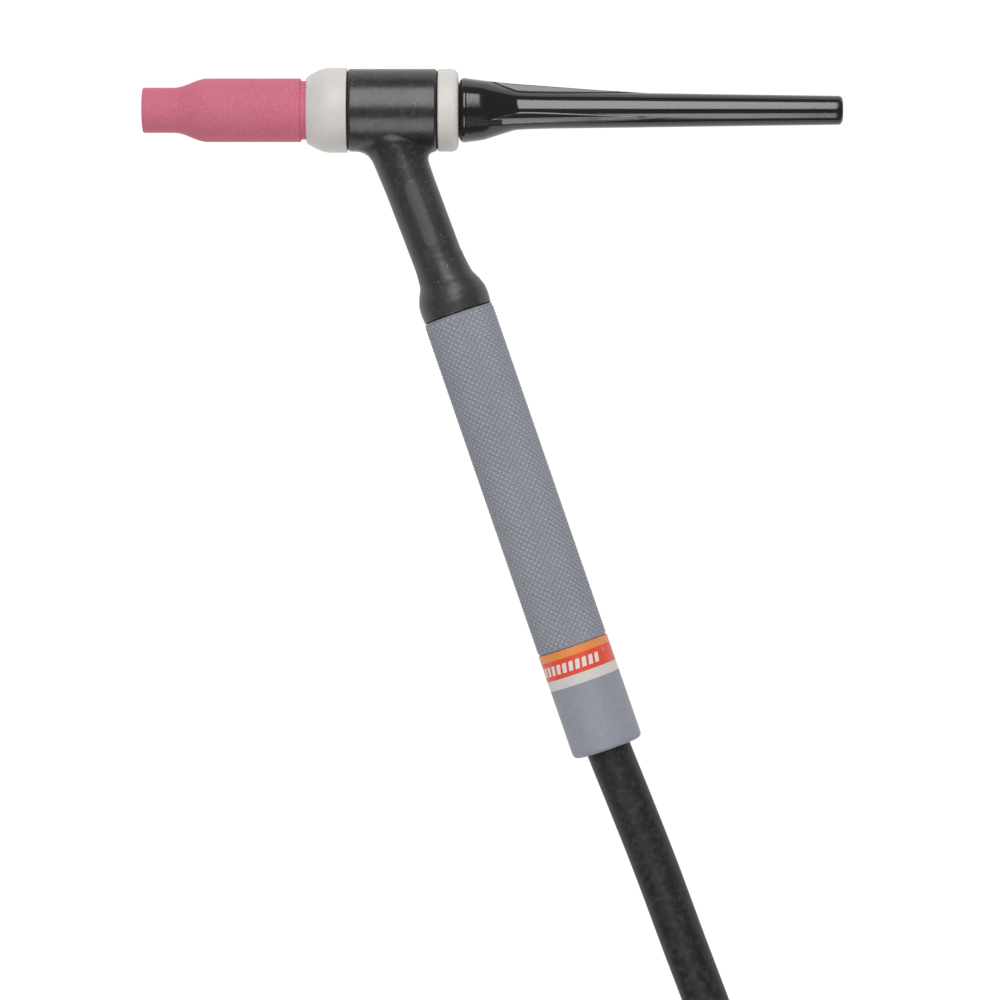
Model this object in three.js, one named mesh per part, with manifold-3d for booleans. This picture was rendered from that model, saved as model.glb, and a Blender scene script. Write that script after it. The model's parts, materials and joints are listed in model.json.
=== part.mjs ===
// TIG welding torch, gas cooled, lying on its side: millimetres, +Z up.
//
// The torch axis runs along X: the nozzle's mouth faces -X and the back cap points to +X.
// The neck and the handle lean away from it towards -Y. Stations along the torch axis are
// measured from the nozzle's mouth, and stations along the handle from its top edge.

import * as THREE from 'three';
import { mergeVertices } from 'three/addons/utils/BufferGeometryUtils.js';
import Module from 'manifold-3d';

const wasm = await Module();
wasm.setup();

// ---- driving dimensions ------------------------------------------------------------------

const GAP = 0.3;                  // clearance between neighbouring pieces
const ROUND = 40;                 // facets of the large turned pieces
const SMALL_ROUND = 20;           // facets of the small turned pieces

// ceramic nozzle
const NOZZLE_TIP_R = 6.75;
const NOZZLE_TIP_LENGTH = 9.9;
const NOZZLE_FLARE_LENGTH = 9;
const NOZZLE_R = 9.5;
const NOZZLE_BODY_LENGTH = 27.8;
const NOZZLE_COLLAR_R = 8.75;
const NOZZLE_COLLAR_LENGTH = 5.2;
const NOZZLE_BORE_R = 4.75;
const NOZZLE_CHAMBER_R = 6.5;

// front insulator, a cup gasket
const GASKET_RECESS = 3.1;
const GASKET_WEB = 3.7;
const GASKET_LENGTH = 12.2;
const GASKET_FACE_R = 10.2;
const GASKET_R = 12.7;
const GASKET_SWELL_LENGTH = 6.2;

// barrel, the part of the black insulation that lies along the torch axis
const BARREL_R = 12.35;
const BARREL_LENGTH = 26.6;
const BARREL_EDGE = 0.8;

// head core, a turned body inside the barrel
const CORE_R = 9.3;
const CORE_BORE_R = 5.1;
const CORE_OVERHANG = 3.8;        // how far the core stands out of the barrel's rear end
const GAS_HOLE_R = 2.5;

// rear insulator
const REAR_RING_LENGTH = 6.15;
const REAR_RING_EDGE = 2.7;

// neck, foot and handle
const NECK_STATION = 71.6;        // where the neck's axis meets the torch axis
const NECK_LEAN = 20.7;           // degrees from square to the torch axis
const NECK_LENGTH = 65.6;         // from the torch axis to the handle's top edge
const NECK_TOP_R = 7.8;
const NECK_R = 7.5;
const NECK_FLARE_R = 9.8;
const NECK_FLARE_LENGTH = 7;
const FOOT_R = 10.5;
const FOOT_LENGTH = 13.6;
const SPIGOT_R = 8.0;
const SPIGOT_LENGTH = 14;
const HANDLE_LEAN = 19.05;
const HANDLE_R = 10.8;
const HANDLE_LENGTH = 137.6;
const HANDLE_TOP_EDGE = 0.5;
const HANDLE_END_EDGE = 1.8;
const HANDLE_END_WALL = 5.6;
const BAND_STATION = 105;
const BAND_LENGTH = 11.1;
const BAND_THICKNESS = 0.3;

// tube and fittings inside the handle
const TUBE_R = 4.75;
const TUBE_BORE_R = 2.7;
const TUBE_REACH = 62;            // how far the neck tube runs into the handle

// collet body, collet and electrode
const BODY_SETBACK = 11;          // from the nozzle's mouth to the collet body's tip
const BODY_TIP_R = 3.0;
const BODY_SLIM_R = 4.4;
const BODY_TAPER_LENGTH = 3;
const BODY_THREAD_LENGTH = 14;
const BODY_TAIL_LENGTH = 9;
const PORT_STATION = 24;
const PORT_R = 1.2;
const COLLET_R = 2.5;
const COLLET_LENGTH = 52;
const COLLET_CONE_LENGTH = 3.7;
const COLLET_NOSE_R = 1.9;
const COLLET_SLIT = 0.5;
const COLLET_SLIT_LENGTH = 20;
const ELECTRODE_R = 1.2;
const ELECTRODE_LENGTH = 175;
const ELECTRODE_SETBACK = 6;      // how far its point lies inside the nozzle's mouth
const ELECTRODE_POINT_LENGTH = 5;

// back cap, its threaded insert and its seal
const CAP_FRONT_R = 7.8;
const CAP_BASE_R = 9.7;
const CAP_BASE_LENGTH = 6.4;
const CAP_CHAMFER_LENGTH = 1.25;
const CAP_SHOULDER_LENGTH = 9;
const CAP_WAIST_R = 6.36;
const CAP_SHAFT_R = 5.5;
const CAP_END_R = 4.4;
const CAP_END_EDGE = 1.2;
const CAP_LENGTH = 114.9;
const CAP_BORE_R = 2.2;
const CAP_TIP_WALL = 12.5;
const FIN_COUNT = 3;
const FIN_FIRST_ANGLE = 85;       // degrees from +Z towards +Y, about the torch axis
const FIN_WIDTH = 2.0;
const FIN_LENGTH = 60;
const FIN_CREST_R = 8.2;
const FIN_CREST_STATION = 12;     // from the cap's front face
const INSERT_NOSE_R = 3.9;
const INSERT_THREAD_R = 6.4;
const INSERT_THREAD_LENGTH = 10.5;
const INSERT_BORE_R = 1.9;
const INSERT_STEM_R = 4.7;
const INSERT_STEM_LENGTH = 11;
const SEAL_SECTION_R = 1.0;

// power cable, its fittings and its stored coil
const CABLE_R = 6.75;
const CABLE_SIDES = 12;
const COIL_CENTRE = [-14.75, -294];
const COIL_INNER_R = 54;
const COIL_OUTER_R = 108;
const COIL_HEIGHT = 27.1;
const COIL_EDGE = 5;
const TIE_THICKNESS = 1.0;
const TIE_WIDTH = 16;
const TIE_ANGLES = [90, -45];

// The cable's centre line from the handle to the coil, and from the coil to its far end.
const CABLE_LEAD = [
    [25.15, -72.8, 12.7], [27.1, -78.4, 12.7], [29.9, -86.6, 12.7], [32.6, -94.4, 12.7],
    [34.9, -101.0, 12.6], [38.9, -110.9, 12.2], [42.8, -120.6, 11.5], [46.7, -130.4, 10.7],
    [50.5, -140.3, 9.8], [54.2, -150.3, 9.0], [57.9, -160.3, 8.3], [61.7, -170.3, 7.7],
    [65.5, -180.4, 7.3], [69.3, -191.0, 7.1], [73.0, -203.0, 7.2], [76.4, -216.0, 7.4],
    [79.6, -230.5, 7.7], [82.4, -246.0, 7.9], [84.7, -262.0, 8.0], [86.1, -278.0, 8.05],
    [86.5, -294.0, 8.05],
];
const CABLE_TAIL = [
    [-32.4, -394.1, 21.6], [-49.8, -390.4, 21.5], [-67.0, -384.5, 20.8], [-83.7, -376.1, 19.2],
    [-99.6, -365.2, 16.9], [-113.9, -351.2, 14.3], [-125.4, -334.3, 12.1], [-133.0, -314.9, 10.6],
    [-136.2, -294.0, 9.8], [-135.1, -278.0, 9.6], [-134.0, -262.1, 9.6],
];

// One size of cable fitting: the small one joins the neck tube, the large one the machine.
const STEM_FITTING = { nutFlats: 13, nutLength: 16, nutWall: 3.4, threadR: 4.6, collarR: 4.4,
    stemR: 3.1, boreR: 2.0, ferruleR: 7.9, ferruleLength: 23.7, stemLength: 8 };
const MACHINE_FITTING = { nutFlats: 19, nutLength: 20, nutWall: 4.5, threadR: 7.6, collarR: 7.2,
    stemR: 4.2, boreR: 2.6, ferruleR: 8.2, ferruleLength: 26, stemLength: 9 };
const NIPPLE_HEX_FLATS = 11;
const NIPPLE_HEX_LENGTH = 4.5;
const NIPPLE_THREAD_LENGTH = 9.5;
const NIPPLE_COLLAR_LENGTH = 3;

// ---- stations worked out from the dimensions ----------------------------------------------

const flareStation = NOZZLE_TIP_LENGTH;
const nozzleBodyStation = flareStation + NOZZLE_FLARE_LENGTH;
const collarStation = nozzleBodyStation + NOZZLE_BODY_LENGTH;
const nozzleEnd = collarStation + NOZZLE_COLLAR_LENGTH;
const recessFloor = nozzleEnd + GAP;
const gasketFront = recessFloor - GASKET_RECESS;
const gasketEnd = gasketFront + GASKET_LENGTH;
const coreFront = recessFloor + GASKET_WEB + GAP;
const barrelFront = gasketEnd + GAP;
const barrelEnd = barrelFront + BARREL_LENGTH;
const coreEnd = barrelEnd + CORE_OVERHANG;
const rearRingFront = barrelEnd + GAP;
const rearRingEnd = rearRingFront + REAR_RING_LENGTH;
const capFront = rearRingEnd + GAP;
const capEnd = capFront + CAP_LENGTH;

const threadR = NOZZLE_CHAMBER_R - GAP;
const bodyShoulder = coreFront - GAP;
const bodyEnd = bodyShoulder + BODY_TAIL_LENGTH;
const colletBoreR = ELECTRODE_R + GAP;
const colletSocketR = COLLET_R + GAP;
const colletFront = BODY_SETBACK + BODY_TAPER_LENGTH + GAP;
const colletEnd = colletFront + COLLET_LENGTH;
const insertFront = colletEnd + GAP;
const sealR = INSERT_STEM_R + GAP + SEAL_SECTION_R;
const threadEnd = capFront - 2 * SEAL_SECTION_R - 2 * GAP - 1.8;
const threadFront = threadEnd - INSERT_THREAD_LENGTH;
const handleBoreR = SPIGOT_R + 0.4;
const cableHoleR = CABLE_R + 0.35;
const coilBase = TIE_THICKNESS + GAP;

// ---- helpers -----------------------------------------------------------------------------

function material(color, roughness, metalness) {
    return new THREE.MeshStandardMaterial({ color, roughness, metalness });
}

function piece(name, geometry, finish) {
    const mesh = new THREE.Mesh(geometry, finish);
    mesh.name = name;
    return mesh;
}

// Turns an outline of [radius, station] points, anticlockwise, about the local Y axis.
function turned(outline, facets = ROUND) {
    return new THREE.LatheGeometry(outline.map(([r, y]) => new THREE.Vector2(r, y)), facets);
}

// A turned piece with a through bore: its outline closes on itself.
function turnedRing(outline, facets = ROUND) {
    return turned([...outline, outline[0]], facets);
}

function plainTube(innerR, outerR, from, to, facets = SMALL_ROUND) {
    return turnedRing([[innerR, from], [outerR, from], [outerR, to], [innerR, to]], facets);
}

function plainRod(radius, from, to, facets = SMALL_ROUND) {
    return turned([[0, from], [radius, from], [radius, to], [0, to]], facets);
}

// A quarter-round edge: from startAngle to endAngle about a centre, in degrees.
function arc(centre, radius, startAngle, endAngle, steps = 4) {
    const points = [];
    for (let i = 0; i <= steps; i += 1) {
        const angle = THREE.MathUtils.degToRad(startAngle + (endAngle - startAngle) * i / steps);
        points.push([centre[0] + radius * Math.cos(angle), centre[1] + radius * Math.sin(angle)]);
    }
    return points;
}

// Points of a smooth S-shaped change of radius between two stations, ends included.
function swell(fromR, fromStation, toR, toStation, steps = 5) {
    const points = [];
    for (let i = 0; i <= steps; i += 1) {
        const t = i / steps;
        const eased = t * t * (3 - 2 * t);
        points.push([fromR + (toR - fromR) * eased, fromStation + (toStation - fromStation) * t]);
    }
    return points;
}

function hexagonShape(flats, holeR) {
    const shape = new THREE.Shape();
    for (let i = 0; i < 6; i += 1) {
        const angle = Math.PI / 6 + i * Math.PI / 3;
        const x = flats / Math.sqrt(3) * Math.cos(angle);
        const y = flats / Math.sqrt(3) * Math.sin(angle);
        if (i === 0) shape.moveTo(x, y);
        else shape.lineTo(x, y);
    }
    shape.closePath();
    if (holeR > 0) shape.holes.push(new THREE.Path().absarc(0, 0, holeR, 0, 2 * Math.PI, true));
    return shape;
}

// A hexagonal prism standing on the local Y axis, with a flat facing +Z.
function hexagonPrism(flats, holeR, from, to) {
    const settings = { depth: to - from, bevelEnabled: false, curveSegments: SMALL_ROUND / 2 };
    const geometry = new THREE.ExtrudeGeometry(hexagonShape(flats, holeR), settings);
    geometry.rotateZ(Math.PI / 2);
    geometry.rotateX(-Math.PI / 2);
    geometry.translate(0, from, 0);
    return geometry;
}

// A round section drawn along a smooth line through the points, with an optional bore.
function tubeAlong(points, radius, boreR, sides, steps) {
    const curve = new THREE.CatmullRomCurve3(points.map((p) => new THREE.Vector3(...p)));
    const shape = new THREE.Shape();
    shape.absarc(0, 0, radius, 0, 2 * Math.PI, false);
    if (boreR > 0) shape.holes.push(new THREE.Path().absarc(0, 0, boreR, 0, 2 * Math.PI, true));
    const curveSegments = sides / 2;   // a full circle gets twice this many sides
    const settings = { steps, extrudePath: curve, curveSegments, bevelEnabled: false };
    return new THREE.ExtrudeGeometry(shape, settings);
}

function toSolid(geometry, matrix = new THREE.Matrix4()) {
    const placed = geometry.clone().applyMatrix4(matrix);
    placed.deleteAttribute('normal');
    placed.deleteAttribute('uv');
    const merged = mergeVertices(placed, 1e-4);
    const index = merged.index.array;
    const kept = [];
    for (let i = 0; i < index.length; i += 3) {
        const [a, b, c] = [index[i], index[i + 1], index[i + 2]];
        if (a !== b && b !== c && c !== a) kept.push(a, b, c);
    }
    return new wasm.Manifold(new wasm.Mesh({
        numProp: 3,
        vertProperties: new Float32Array(merged.attributes.position.array),
        triVerts: new Uint32Array(kept),
    }));
}

function toGeometry(solid) {
    const mesh = solid.getMesh();
    const geometry = new THREE.BufferGeometry();
    geometry.setAttribute('position', new THREE.BufferAttribute(mesh.vertProperties, 3));
    geometry.setIndex(new THREE.BufferAttribute(mesh.triVerts, 1));
    geometry.computeVertexNormals();
    return geometry;
}

// ---- frames: each one's local +Y is the axis that its pieces are turned about -------------

function axisFrame(x, y, turn) {
    const frame = new THREE.Group();
    frame.position.set(x, y, 0);
    frame.rotation.z = turn;
    frame.updateMatrix();
    return frame;
}

const neckLean = THREE.MathUtils.degToRad(NECK_LEAN);
const handleLean = THREE.MathUtils.degToRad(HANDLE_LEAN);
const torchFrame = axisFrame(0, 0, -Math.PI / 2);
const neckFrame = axisFrame(NECK_STATION, 0, Math.PI + neckLean);
const handleX = NECK_STATION + NECK_LENGTH * Math.sin(neckLean);
const handleY = -NECK_LENGTH * Math.cos(neckLean);
const handleFrame = axisFrame(handleX, handleY, Math.PI + handleLean);

// ---- nozzle end --------------------------------------------------------------------------

function ceramicNozzle() {
    const flareEnd = nozzleBodyStation;
    return turnedRing([
        [NOZZLE_BORE_R, 0], [NOZZLE_TIP_R - 0.3, 0], [NOZZLE_TIP_R, 0.3],
        ...swell(NOZZLE_TIP_R, flareStation, NOZZLE_R, flareEnd),
        [NOZZLE_R, collarStation - 0.4], [NOZZLE_R - 0.4, collarStation],
        [NOZZLE_COLLAR_R, collarStation], [NOZZLE_COLLAR_R, nozzleEnd],
        [NOZZLE_CHAMBER_R, nozzleEnd], [NOZZLE_CHAMBER_R, flareEnd + 2],
        [NOZZLE_BORE_R, flareStation + 1.5],
    ]);
}

function frontInsulator() {
    const seatR = CORE_R + GAP;
    const swellEnd = gasketFront + GASKET_SWELL_LENGTH;
    return turnedRing([
        [NOZZLE_COLLAR_R + GAP, gasketFront], [GASKET_FACE_R - 0.4, gasketFront],
        [GASKET_FACE_R, gasketFront + 0.4],
        ...swell(GASKET_FACE_R, gasketFront + 1.2, GASKET_R, swellEnd, 5),
        [GASKET_R, gasketEnd], [seatR, gasketEnd], [seatR, coreFront - GAP],
        [threadR + GAP, coreFront - GAP], [threadR + GAP, recessFloor],
        [NOZZLE_COLLAR_R + GAP, recessFloor],
    ]);
}

function colletBody() {
    const threadStart = nozzleEnd - BODY_THREAD_LENGTH - NOZZLE_COLLAR_LENGTH;
    const seatEnd = colletFront + COLLET_CONE_LENGTH;
    const tipHoleR = ELECTRODE_R + 0.4;
    const outline = turnedRing([
        [tipHoleR, BODY_SETBACK], [BODY_TIP_R, BODY_SETBACK],
        [BODY_SLIM_R, BODY_SETBACK + BODY_TAPER_LENGTH], [BODY_SLIM_R, threadStart - 1],
        [threadR, threadStart], [threadR, bodyShoulder],
        [CORE_BORE_R - GAP, bodyShoulder], [CORE_BORE_R - GAP, bodyEnd],
        [colletSocketR, bodyEnd], [colletSocketR, seatEnd],
        [COLLET_NOSE_R + GAP, colletFront - GAP], [tipHoleR, colletFront - 2 * GAP],
    ], SMALL_ROUND);
    let solid = toSolid(outline);
    for (const turn of [0, Math.PI / 2]) {
        const drill = plainRod(PORT_R, -2 * BODY_SLIM_R, 2 * BODY_SLIM_R, 8);
        drill.rotateX(Math.PI / 2);
        drill.rotateY(turn);
        drill.translate(0, PORT_STATION, 0);
        solid = solid.subtract(toSolid(drill));
    }
    return toGeometry(solid);
}

function collet() {
    let solid = toSolid(turnedRing([
        [colletBoreR, colletFront], [COLLET_NOSE_R, colletFront],
        [COLLET_R, colletFront + COLLET_CONE_LENGTH], [COLLET_R, colletEnd],
        [colletBoreR, colletEnd],
    ], SMALL_ROUND));
    for (const turn of [0, Math.PI / 2]) {
        const blade = new THREE.BoxGeometry(COLLET_SLIT, 2 * COLLET_SLIT_LENGTH, 4 * COLLET_R);
        blade.rotateY(turn);
        blade.translate(0, colletFront, 0);
        solid = solid.subtract(toSolid(blade));
    }
    return toGeometry(solid);
}

function electrode() {
    const point = ELECTRODE_SETBACK;
    return turned([
        [0, point], [0.25, point], [ELECTRODE_R, point + ELECTRODE_POINT_LENGTH],
        [ELECTRODE_R, point + ELECTRODE_LENGTH], [0, point + ELECTRODE_LENGTH],
    ], 12);
}

// ---- head and neck -----------------------------------------------------------------------

function headCore() {
    const threadBoreR = INSERT_THREAD_R + GAP;
    const step = threadFront - 1;
    const body = toSolid(turnedRing([
        [CORE_BORE_R, coreFront], [CORE_R, coreFront], [CORE_R, coreEnd],
        [threadBoreR, coreEnd], [threadBoreR, step], [CORE_BORE_R, step - 1],
    ], 36), torchFrame.matrix);
    const drill = toSolid(plainRod(GAS_HOLE_R, 0, 2 * CORE_R, 12), neckFrame.matrix);
    return toGeometry(body.subtract(drill));
}

// The neck tube's centre line: down the neck's axis, then down the handle's axis.
function tubeLine() {
    const onNeck = (d) => new THREE.Vector3(0, d, 0).applyMatrix4(neckFrame.matrix);
    const onHandle = (d) => new THREE.Vector3(0, d, 0).applyMatrix4(handleFrame.matrix);
    const stations = [0, 0.25, 0.5, 0.75].map((share) => onNeck(share * NECK_LENGTH));
    return [...stations, onHandle(0), onHandle(TUBE_REACH / 2), onHandle(TUBE_REACH)];
}

function neckTube() {
    const line = tubeLine().map((p) => p.toArray());
    const tube = toSolid(tubeAlong(line, TUBE_R, TUBE_BORE_R, 16, 14));
    const saddle = toSolid(plainRod(CORE_R + GAP, 0, capFront, 36), torchFrame.matrix);
    return toGeometry(tube.subtract(saddle));
}

function headInsulation() {
    const edge = BARREL_EDGE;
    const barrel = toSolid(turned([
        [0, barrelFront], [BARREL_R, barrelFront],
        ...arc([BARREL_R - edge, barrelEnd - edge], edge, 0, 90, 3), [0, barrelEnd],
    ]), torchFrame.matrix);
    const flareEnd = BARREL_R + NECK_FLARE_LENGTH;
    const neck = toSolid(turned([
        [0, 0], [NECK_FLARE_R, 0], [NECK_FLARE_R, BARREL_R - 2],
        ...swell(NECK_FLARE_R, BARREL_R - 1, NECK_TOP_R, flareEnd, 4),
        [NECK_R, NECK_LENGTH - FOOT_LENGTH], [NECK_R, NECK_LENGTH - FOOT_LENGTH / 2],
        [0, NECK_LENGTH - FOOT_LENGTH / 2],
    ], 36), neckFrame.matrix);
    const foot = toSolid(turned([
        [0, -FOOT_LENGTH], ...swell(NECK_R, -FOOT_LENGTH, FOOT_R, -FOOT_LENGTH / 3),
        [FOOT_R - 0.15, -GAP], [SPIGOT_R, -GAP], [SPIGOT_R, SPIGOT_LENGTH], [0, SPIGOT_LENGTH],
    ], 36), handleFrame.matrix);
    const bore = toSolid(plainRod(CORE_R + GAP, 0, capFront, 36), torchFrame.matrix);
    const line = tubeLine().map((p) => p.toArray());
    const tunnel = toSolid(tubeAlong(line, TUBE_R + GAP, 0, 16, 14));
    return toGeometry(barrel.add(neck).add(foot).subtract(bore).subtract(tunnel));
}

function rearInsulator() {
    const seatR = CORE_R + GAP;
    const webR = sealR + SEAL_SECTION_R + GAP;
    const edge = REAR_RING_EDGE;
    return turnedRing([
        [seatR, rearRingFront], [BARREL_R, rearRingFront],
        ...arc([BARREL_R - edge, rearRingEnd - edge], edge, 0, 90),
        [webR, rearRingEnd], [webR, coreEnd + GAP], [seatR, coreEnd + GAP],
    ]);
}

// ---- back cap ----------------------------------------------------------------------------

function capFin(turn) {
    const outline = new THREE.Shape();
    const crestStart = capFront + CAP_CHAMFER_LENGTH + 0.5;
    outline.moveTo(CAP_BORE_R + 1.5, crestStart);
    outline.lineTo(CAP_BASE_R - 0.2, crestStart);
    outline.lineTo(FIN_CREST_R, capFront + FIN_CREST_STATION);
    outline.lineTo(CAP_SHAFT_R - 0.9, capFront + FIN_LENGTH);
    outline.lineTo(CAP_BORE_R + 1.5, capFront + FIN_LENGTH);
    outline.closePath();
    const fin = new THREE.ExtrudeGeometry(outline, { depth: FIN_WIDTH, bevelEnabled: false });
    fin.translate(0, 0, -FIN_WIDTH / 2);
    fin.rotateY(turn);
    return fin;
}

function backCap() {
    const socketR = INSERT_STEM_R + GAP;
    const socketEnd = capFront + INSERT_STEM_LENGTH + GAP;
    const baseEnd = capFront + CAP_BASE_LENGTH;
    const shoulderEnd = baseEnd + CAP_SHOULDER_LENGTH;
    const boreEnd = capEnd - CAP_TIP_WALL;
    let solid = toSolid(turned([
        [0, capFront], [CAP_FRONT_R, capFront], [CAP_BASE_R, capFront + CAP_CHAMFER_LENGTH],
        ...swell(CAP_BASE_R, baseEnd, CAP_WAIST_R, shoulderEnd, 5),
        [CAP_SHAFT_R, shoulderEnd + CAP_BASE_LENGTH],
        [CAP_END_R, capEnd - CAP_END_EDGE], [CAP_END_R - 0.5, capEnd], [0, capEnd],
    ], 36));
    for (let i = 0; i < FIN_COUNT; i += 1) {
        const angle = THREE.MathUtils.degToRad(FIN_FIRST_ANGLE + i * 360 / FIN_COUNT);
        solid = solid.add(toSolid(capFin(angle + Math.PI / 2)));
    }
    const bore = toSolid(plainRod(CAP_BORE_R, capFront, boreEnd, 12));
    const socket = toSolid(plainRod(socketR, capFront - 1, socketEnd));
    return toGeometry(solid.subtract(bore).subtract(socket));
}

function capInsert() {
    const stemEnd = capFront + INSERT_STEM_LENGTH;
    return turnedRing([
        [INSERT_BORE_R, insertFront], [INSERT_NOSE_R, insertFront],
        [INSERT_NOSE_R, threadFront - 1], [INSERT_THREAD_R, threadFront],
        [INSERT_THREAD_R, threadEnd], [INSERT_STEM_R, threadEnd],
        [INSERT_STEM_R, stemEnd], [INSERT_BORE_R, stemEnd],
    ], SMALL_ROUND);
}

function capSeal() {
    const station = capFront - GAP - SEAL_SECTION_R;
    return turnedRing(arc([sealR, station], SEAL_SECTION_R, 0, 315, 7), SMALL_ROUND);
}

// ---- handle and the fittings in it -------------------------------------------------------

function handle() {
    const edge = HANDLE_END_EDGE;
    const bandR = HANDLE_R - BAND_THICKNESS - GAP;
    return turnedRing([
        [handleBoreR, 0], [HANDLE_R - HANDLE_TOP_EDGE, 0], [HANDLE_R, HANDLE_TOP_EDGE],
        [HANDLE_R, BAND_STATION - GAP], [bandR, BAND_STATION - GAP],
        [bandR, BAND_STATION + BAND_LENGTH + GAP], [HANDLE_R, BAND_STATION + BAND_LENGTH + GAP],
        ...arc([HANDLE_R - edge, HANDLE_LENGTH - edge], edge, 0, 90),
        [cableHoleR, HANDLE_LENGTH], [cableHoleR, HANDLE_LENGTH - HANDLE_END_WALL],
        [handleBoreR, HANDLE_LENGTH - HANDLE_END_WALL - 1.3],
    ]);
}

function stemNipple(start) {
    const { threadR: screwR, boreR } = STEM_FITTING;
    const hexEnd = start + NIPPLE_HEX_LENGTH;
    const hex = toSolid(hexagonPrism(NIPPLE_HEX_FLATS, 0, start, hexEnd));
    const screw = toSolid(plainRod(screwR, hexEnd - 1, hexEnd + NIPPLE_THREAD_LENGTH));
    const bore = toSolid(plainRod(boreR, start - 1, hexEnd + NIPPLE_THREAD_LENGTH + 1, 12));
    return toGeometry(hex.add(screw).subtract(bore));
}

// The union nut: threaded from its open end, with a web that holds the nipple's collar.
function unionNut(size, start) {
    const openEnd = start;
    const webStart = start + size.nutLength - size.nutWall;
    const hex = toSolid(hexagonPrism(size.nutFlats, 0, openEnd, start + size.nutLength));
    const screwBore = toSolid(plainRod(size.threadR + GAP, openEnd - 1, webStart));
    const hole = toSolid(plainRod(size.stemR + GAP, openEnd, start + size.nutLength + 1));
    return toGeometry(hex.subtract(screwBore).subtract(hole));
}

// The nipple: a collar that the nut pulls home, and a stem that runs on into the ferrule.
function cableNipple(size, start) {
    const collarEnd = start + NIPPLE_COLLAR_LENGTH;
    const end = collarEnd + size.nutWall + size.stemLength;
    return turnedRing([
        [size.boreR, start], [size.collarR, start], [size.collarR, collarEnd],
        [size.stemR, collarEnd], [size.stemR, end], [size.boreR, end],
    ], SMALL_ROUND);
}

function ferrule(size, start) {
    const end = start + size.ferruleLength;
    const ribs = 4;
    const outline = [[size.stemR + GAP, start], [size.ferruleR - 0.8, start]];
    for (let i = 0; i < ribs; i += 1) {
        const from = start + 1 + i * (size.ferruleLength - 2) / ribs;
        const to = from + (size.ferruleLength - 2) / ribs;
        outline.push([size.ferruleR, from], [size.ferruleR, to - 1.2], [size.ferruleR - 0.6, to - 0.8]);
    }
    const socketEnd = start + size.stemLength;
    outline.push([size.ferruleR - 0.8, end], [0, end], [0, socketEnd], [size.stemR + GAP, socketEnd]);
    return turned([...outline, outline[0]], SMALL_ROUND);
}

// Stations of one fitting, from the open end of its nut to the cable's face.
function fittingStations(size, nutStart) {
    const collar = nutStart + size.nutLength - size.nutWall - GAP - NIPPLE_COLLAR_LENGTH;
    const ferruleStart = nutStart + size.nutLength + GAP;
    return { collar, ferruleStart, cable: ferruleStart + size.ferruleLength + GAP };
}

// ---- cable -------------------------------------------------------------------------------

function coilOutline(grow) {
    const [inner, outer] = [COIL_INNER_R - grow, COIL_OUTER_R + grow];
    const [low, high] = [coilBase - grow, coilBase + COIL_HEIGHT + grow];
    const edge = COIL_EDGE;
    return [
        [inner + edge, low], [outer - edge, low], [outer, low + edge], [outer, high - edge],
        [outer - edge, high], [inner + edge, high], [inner, high - edge], [inner, low + edge],
    ];
}

function coilRing(grow = 0) {
    const ring = turnedRing(coilOutline(grow), 48);
    ring.rotateX(Math.PI / 2);
    ring.translate(COIL_CENTRE[0], COIL_CENTRE[1], 0);
    return ring;
}

function cableOutsideCoil(points, steps) {
    const cable = toSolid(tubeAlong(points, CABLE_R, 0, CABLE_SIDES, steps));
    const pieces = cable.subtract(toSolid(coilRing(GAP))).decompose();
    const largest = pieces.reduce((a, b) => (b.volume() > a.volume() ? b : a));
    return toGeometry(largest);
}

function coilTie(angle) {
    const clear = 2 * GAP;
    const sag = COIL_INNER_R - Math.sqrt(COIL_INNER_R ** 2 - (TIE_WIDTH / 2) ** 2);
    const innerSide = COIL_INNER_R - sag - clear;
    const outerSide = COIL_OUTER_R + clear;
    const top = coilBase + COIL_HEIGHT + GAP;
    const strap = new THREE.Shape();
    const window = new THREE.Path();
    const corners = [[innerSide, TIE_THICKNESS], [outerSide, TIE_THICKNESS], [outerSide, top],
        [innerSide, top]];
    corners.forEach(([x, z], i) => {
        const outX = x + (x === innerSide ? -TIE_THICKNESS : TIE_THICKNESS);
        const outZ = z + (z === TIE_THICKNESS ? -TIE_THICKNESS : TIE_THICKNESS);
        if (i === 0) strap.moveTo(outX, outZ);
        else strap.lineTo(outX, outZ);
    });
    strap.closePath();
    [...corners].reverse().forEach(([x, z], i) => {
        if (i === 0) window.moveTo(x, z);
        else window.lineTo(x, z);
    });
    window.closePath();
    strap.holes.push(window);
    const tie = new THREE.ExtrudeGeometry(strap, { depth: TIE_WIDTH, bevelEnabled: false });
    tie.translate(0, 0, -TIE_WIDTH / 2);
    tie.rotateX(Math.PI / 2);
    tie.rotateZ(THREE.MathUtils.degToRad(angle));
    tie.translate(COIL_CENTRE[0], COIL_CENTRE[1], 0);
    return tie;
}

// The machine fitting lies on the line of the cable's last stretch, its nut's mouth outwards.
function machineFrame() {
    const [before, last] = CABLE_TAIL.slice(-2).map((p) => new THREE.Vector3(...p));
    const forward = new THREE.Vector3().subVectors(last, before).setZ(0).normalize();
    const stations = fittingStations(MACHINE_FITTING, 0);
    const frame = new THREE.Group();
    frame.position.copy(last).addScaledVector(forward, stations.cable);
    frame.rotation.z = Math.atan2(forward.x, -forward.y);
    return frame;
}

// ---- finishes ----------------------------------------------------------------------------

const alumina = () => material(0xcb7287, 0.75, 0);
const fluoropolymer = () => material(0xd3cecb, 0.5, 0);
const blackRubber = () => material(0x39383b, 0.8, 0);
const blackPhenolic = () => material(0x141416, 0.18, 0);
const greyPlastic = () => material(0x90939c, 0.55, 0);
const brass = () => material(0xb08d4a, 0.35, 1);
const copper = () => material(0xb06a45, 0.35, 1);
const tungsten = () => material(0x8a8c90, 0.4, 1);
const strapFabric = () => material(0x202022, 0.95, 0);

// ---- assembly ----------------------------------------------------------------------------

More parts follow.
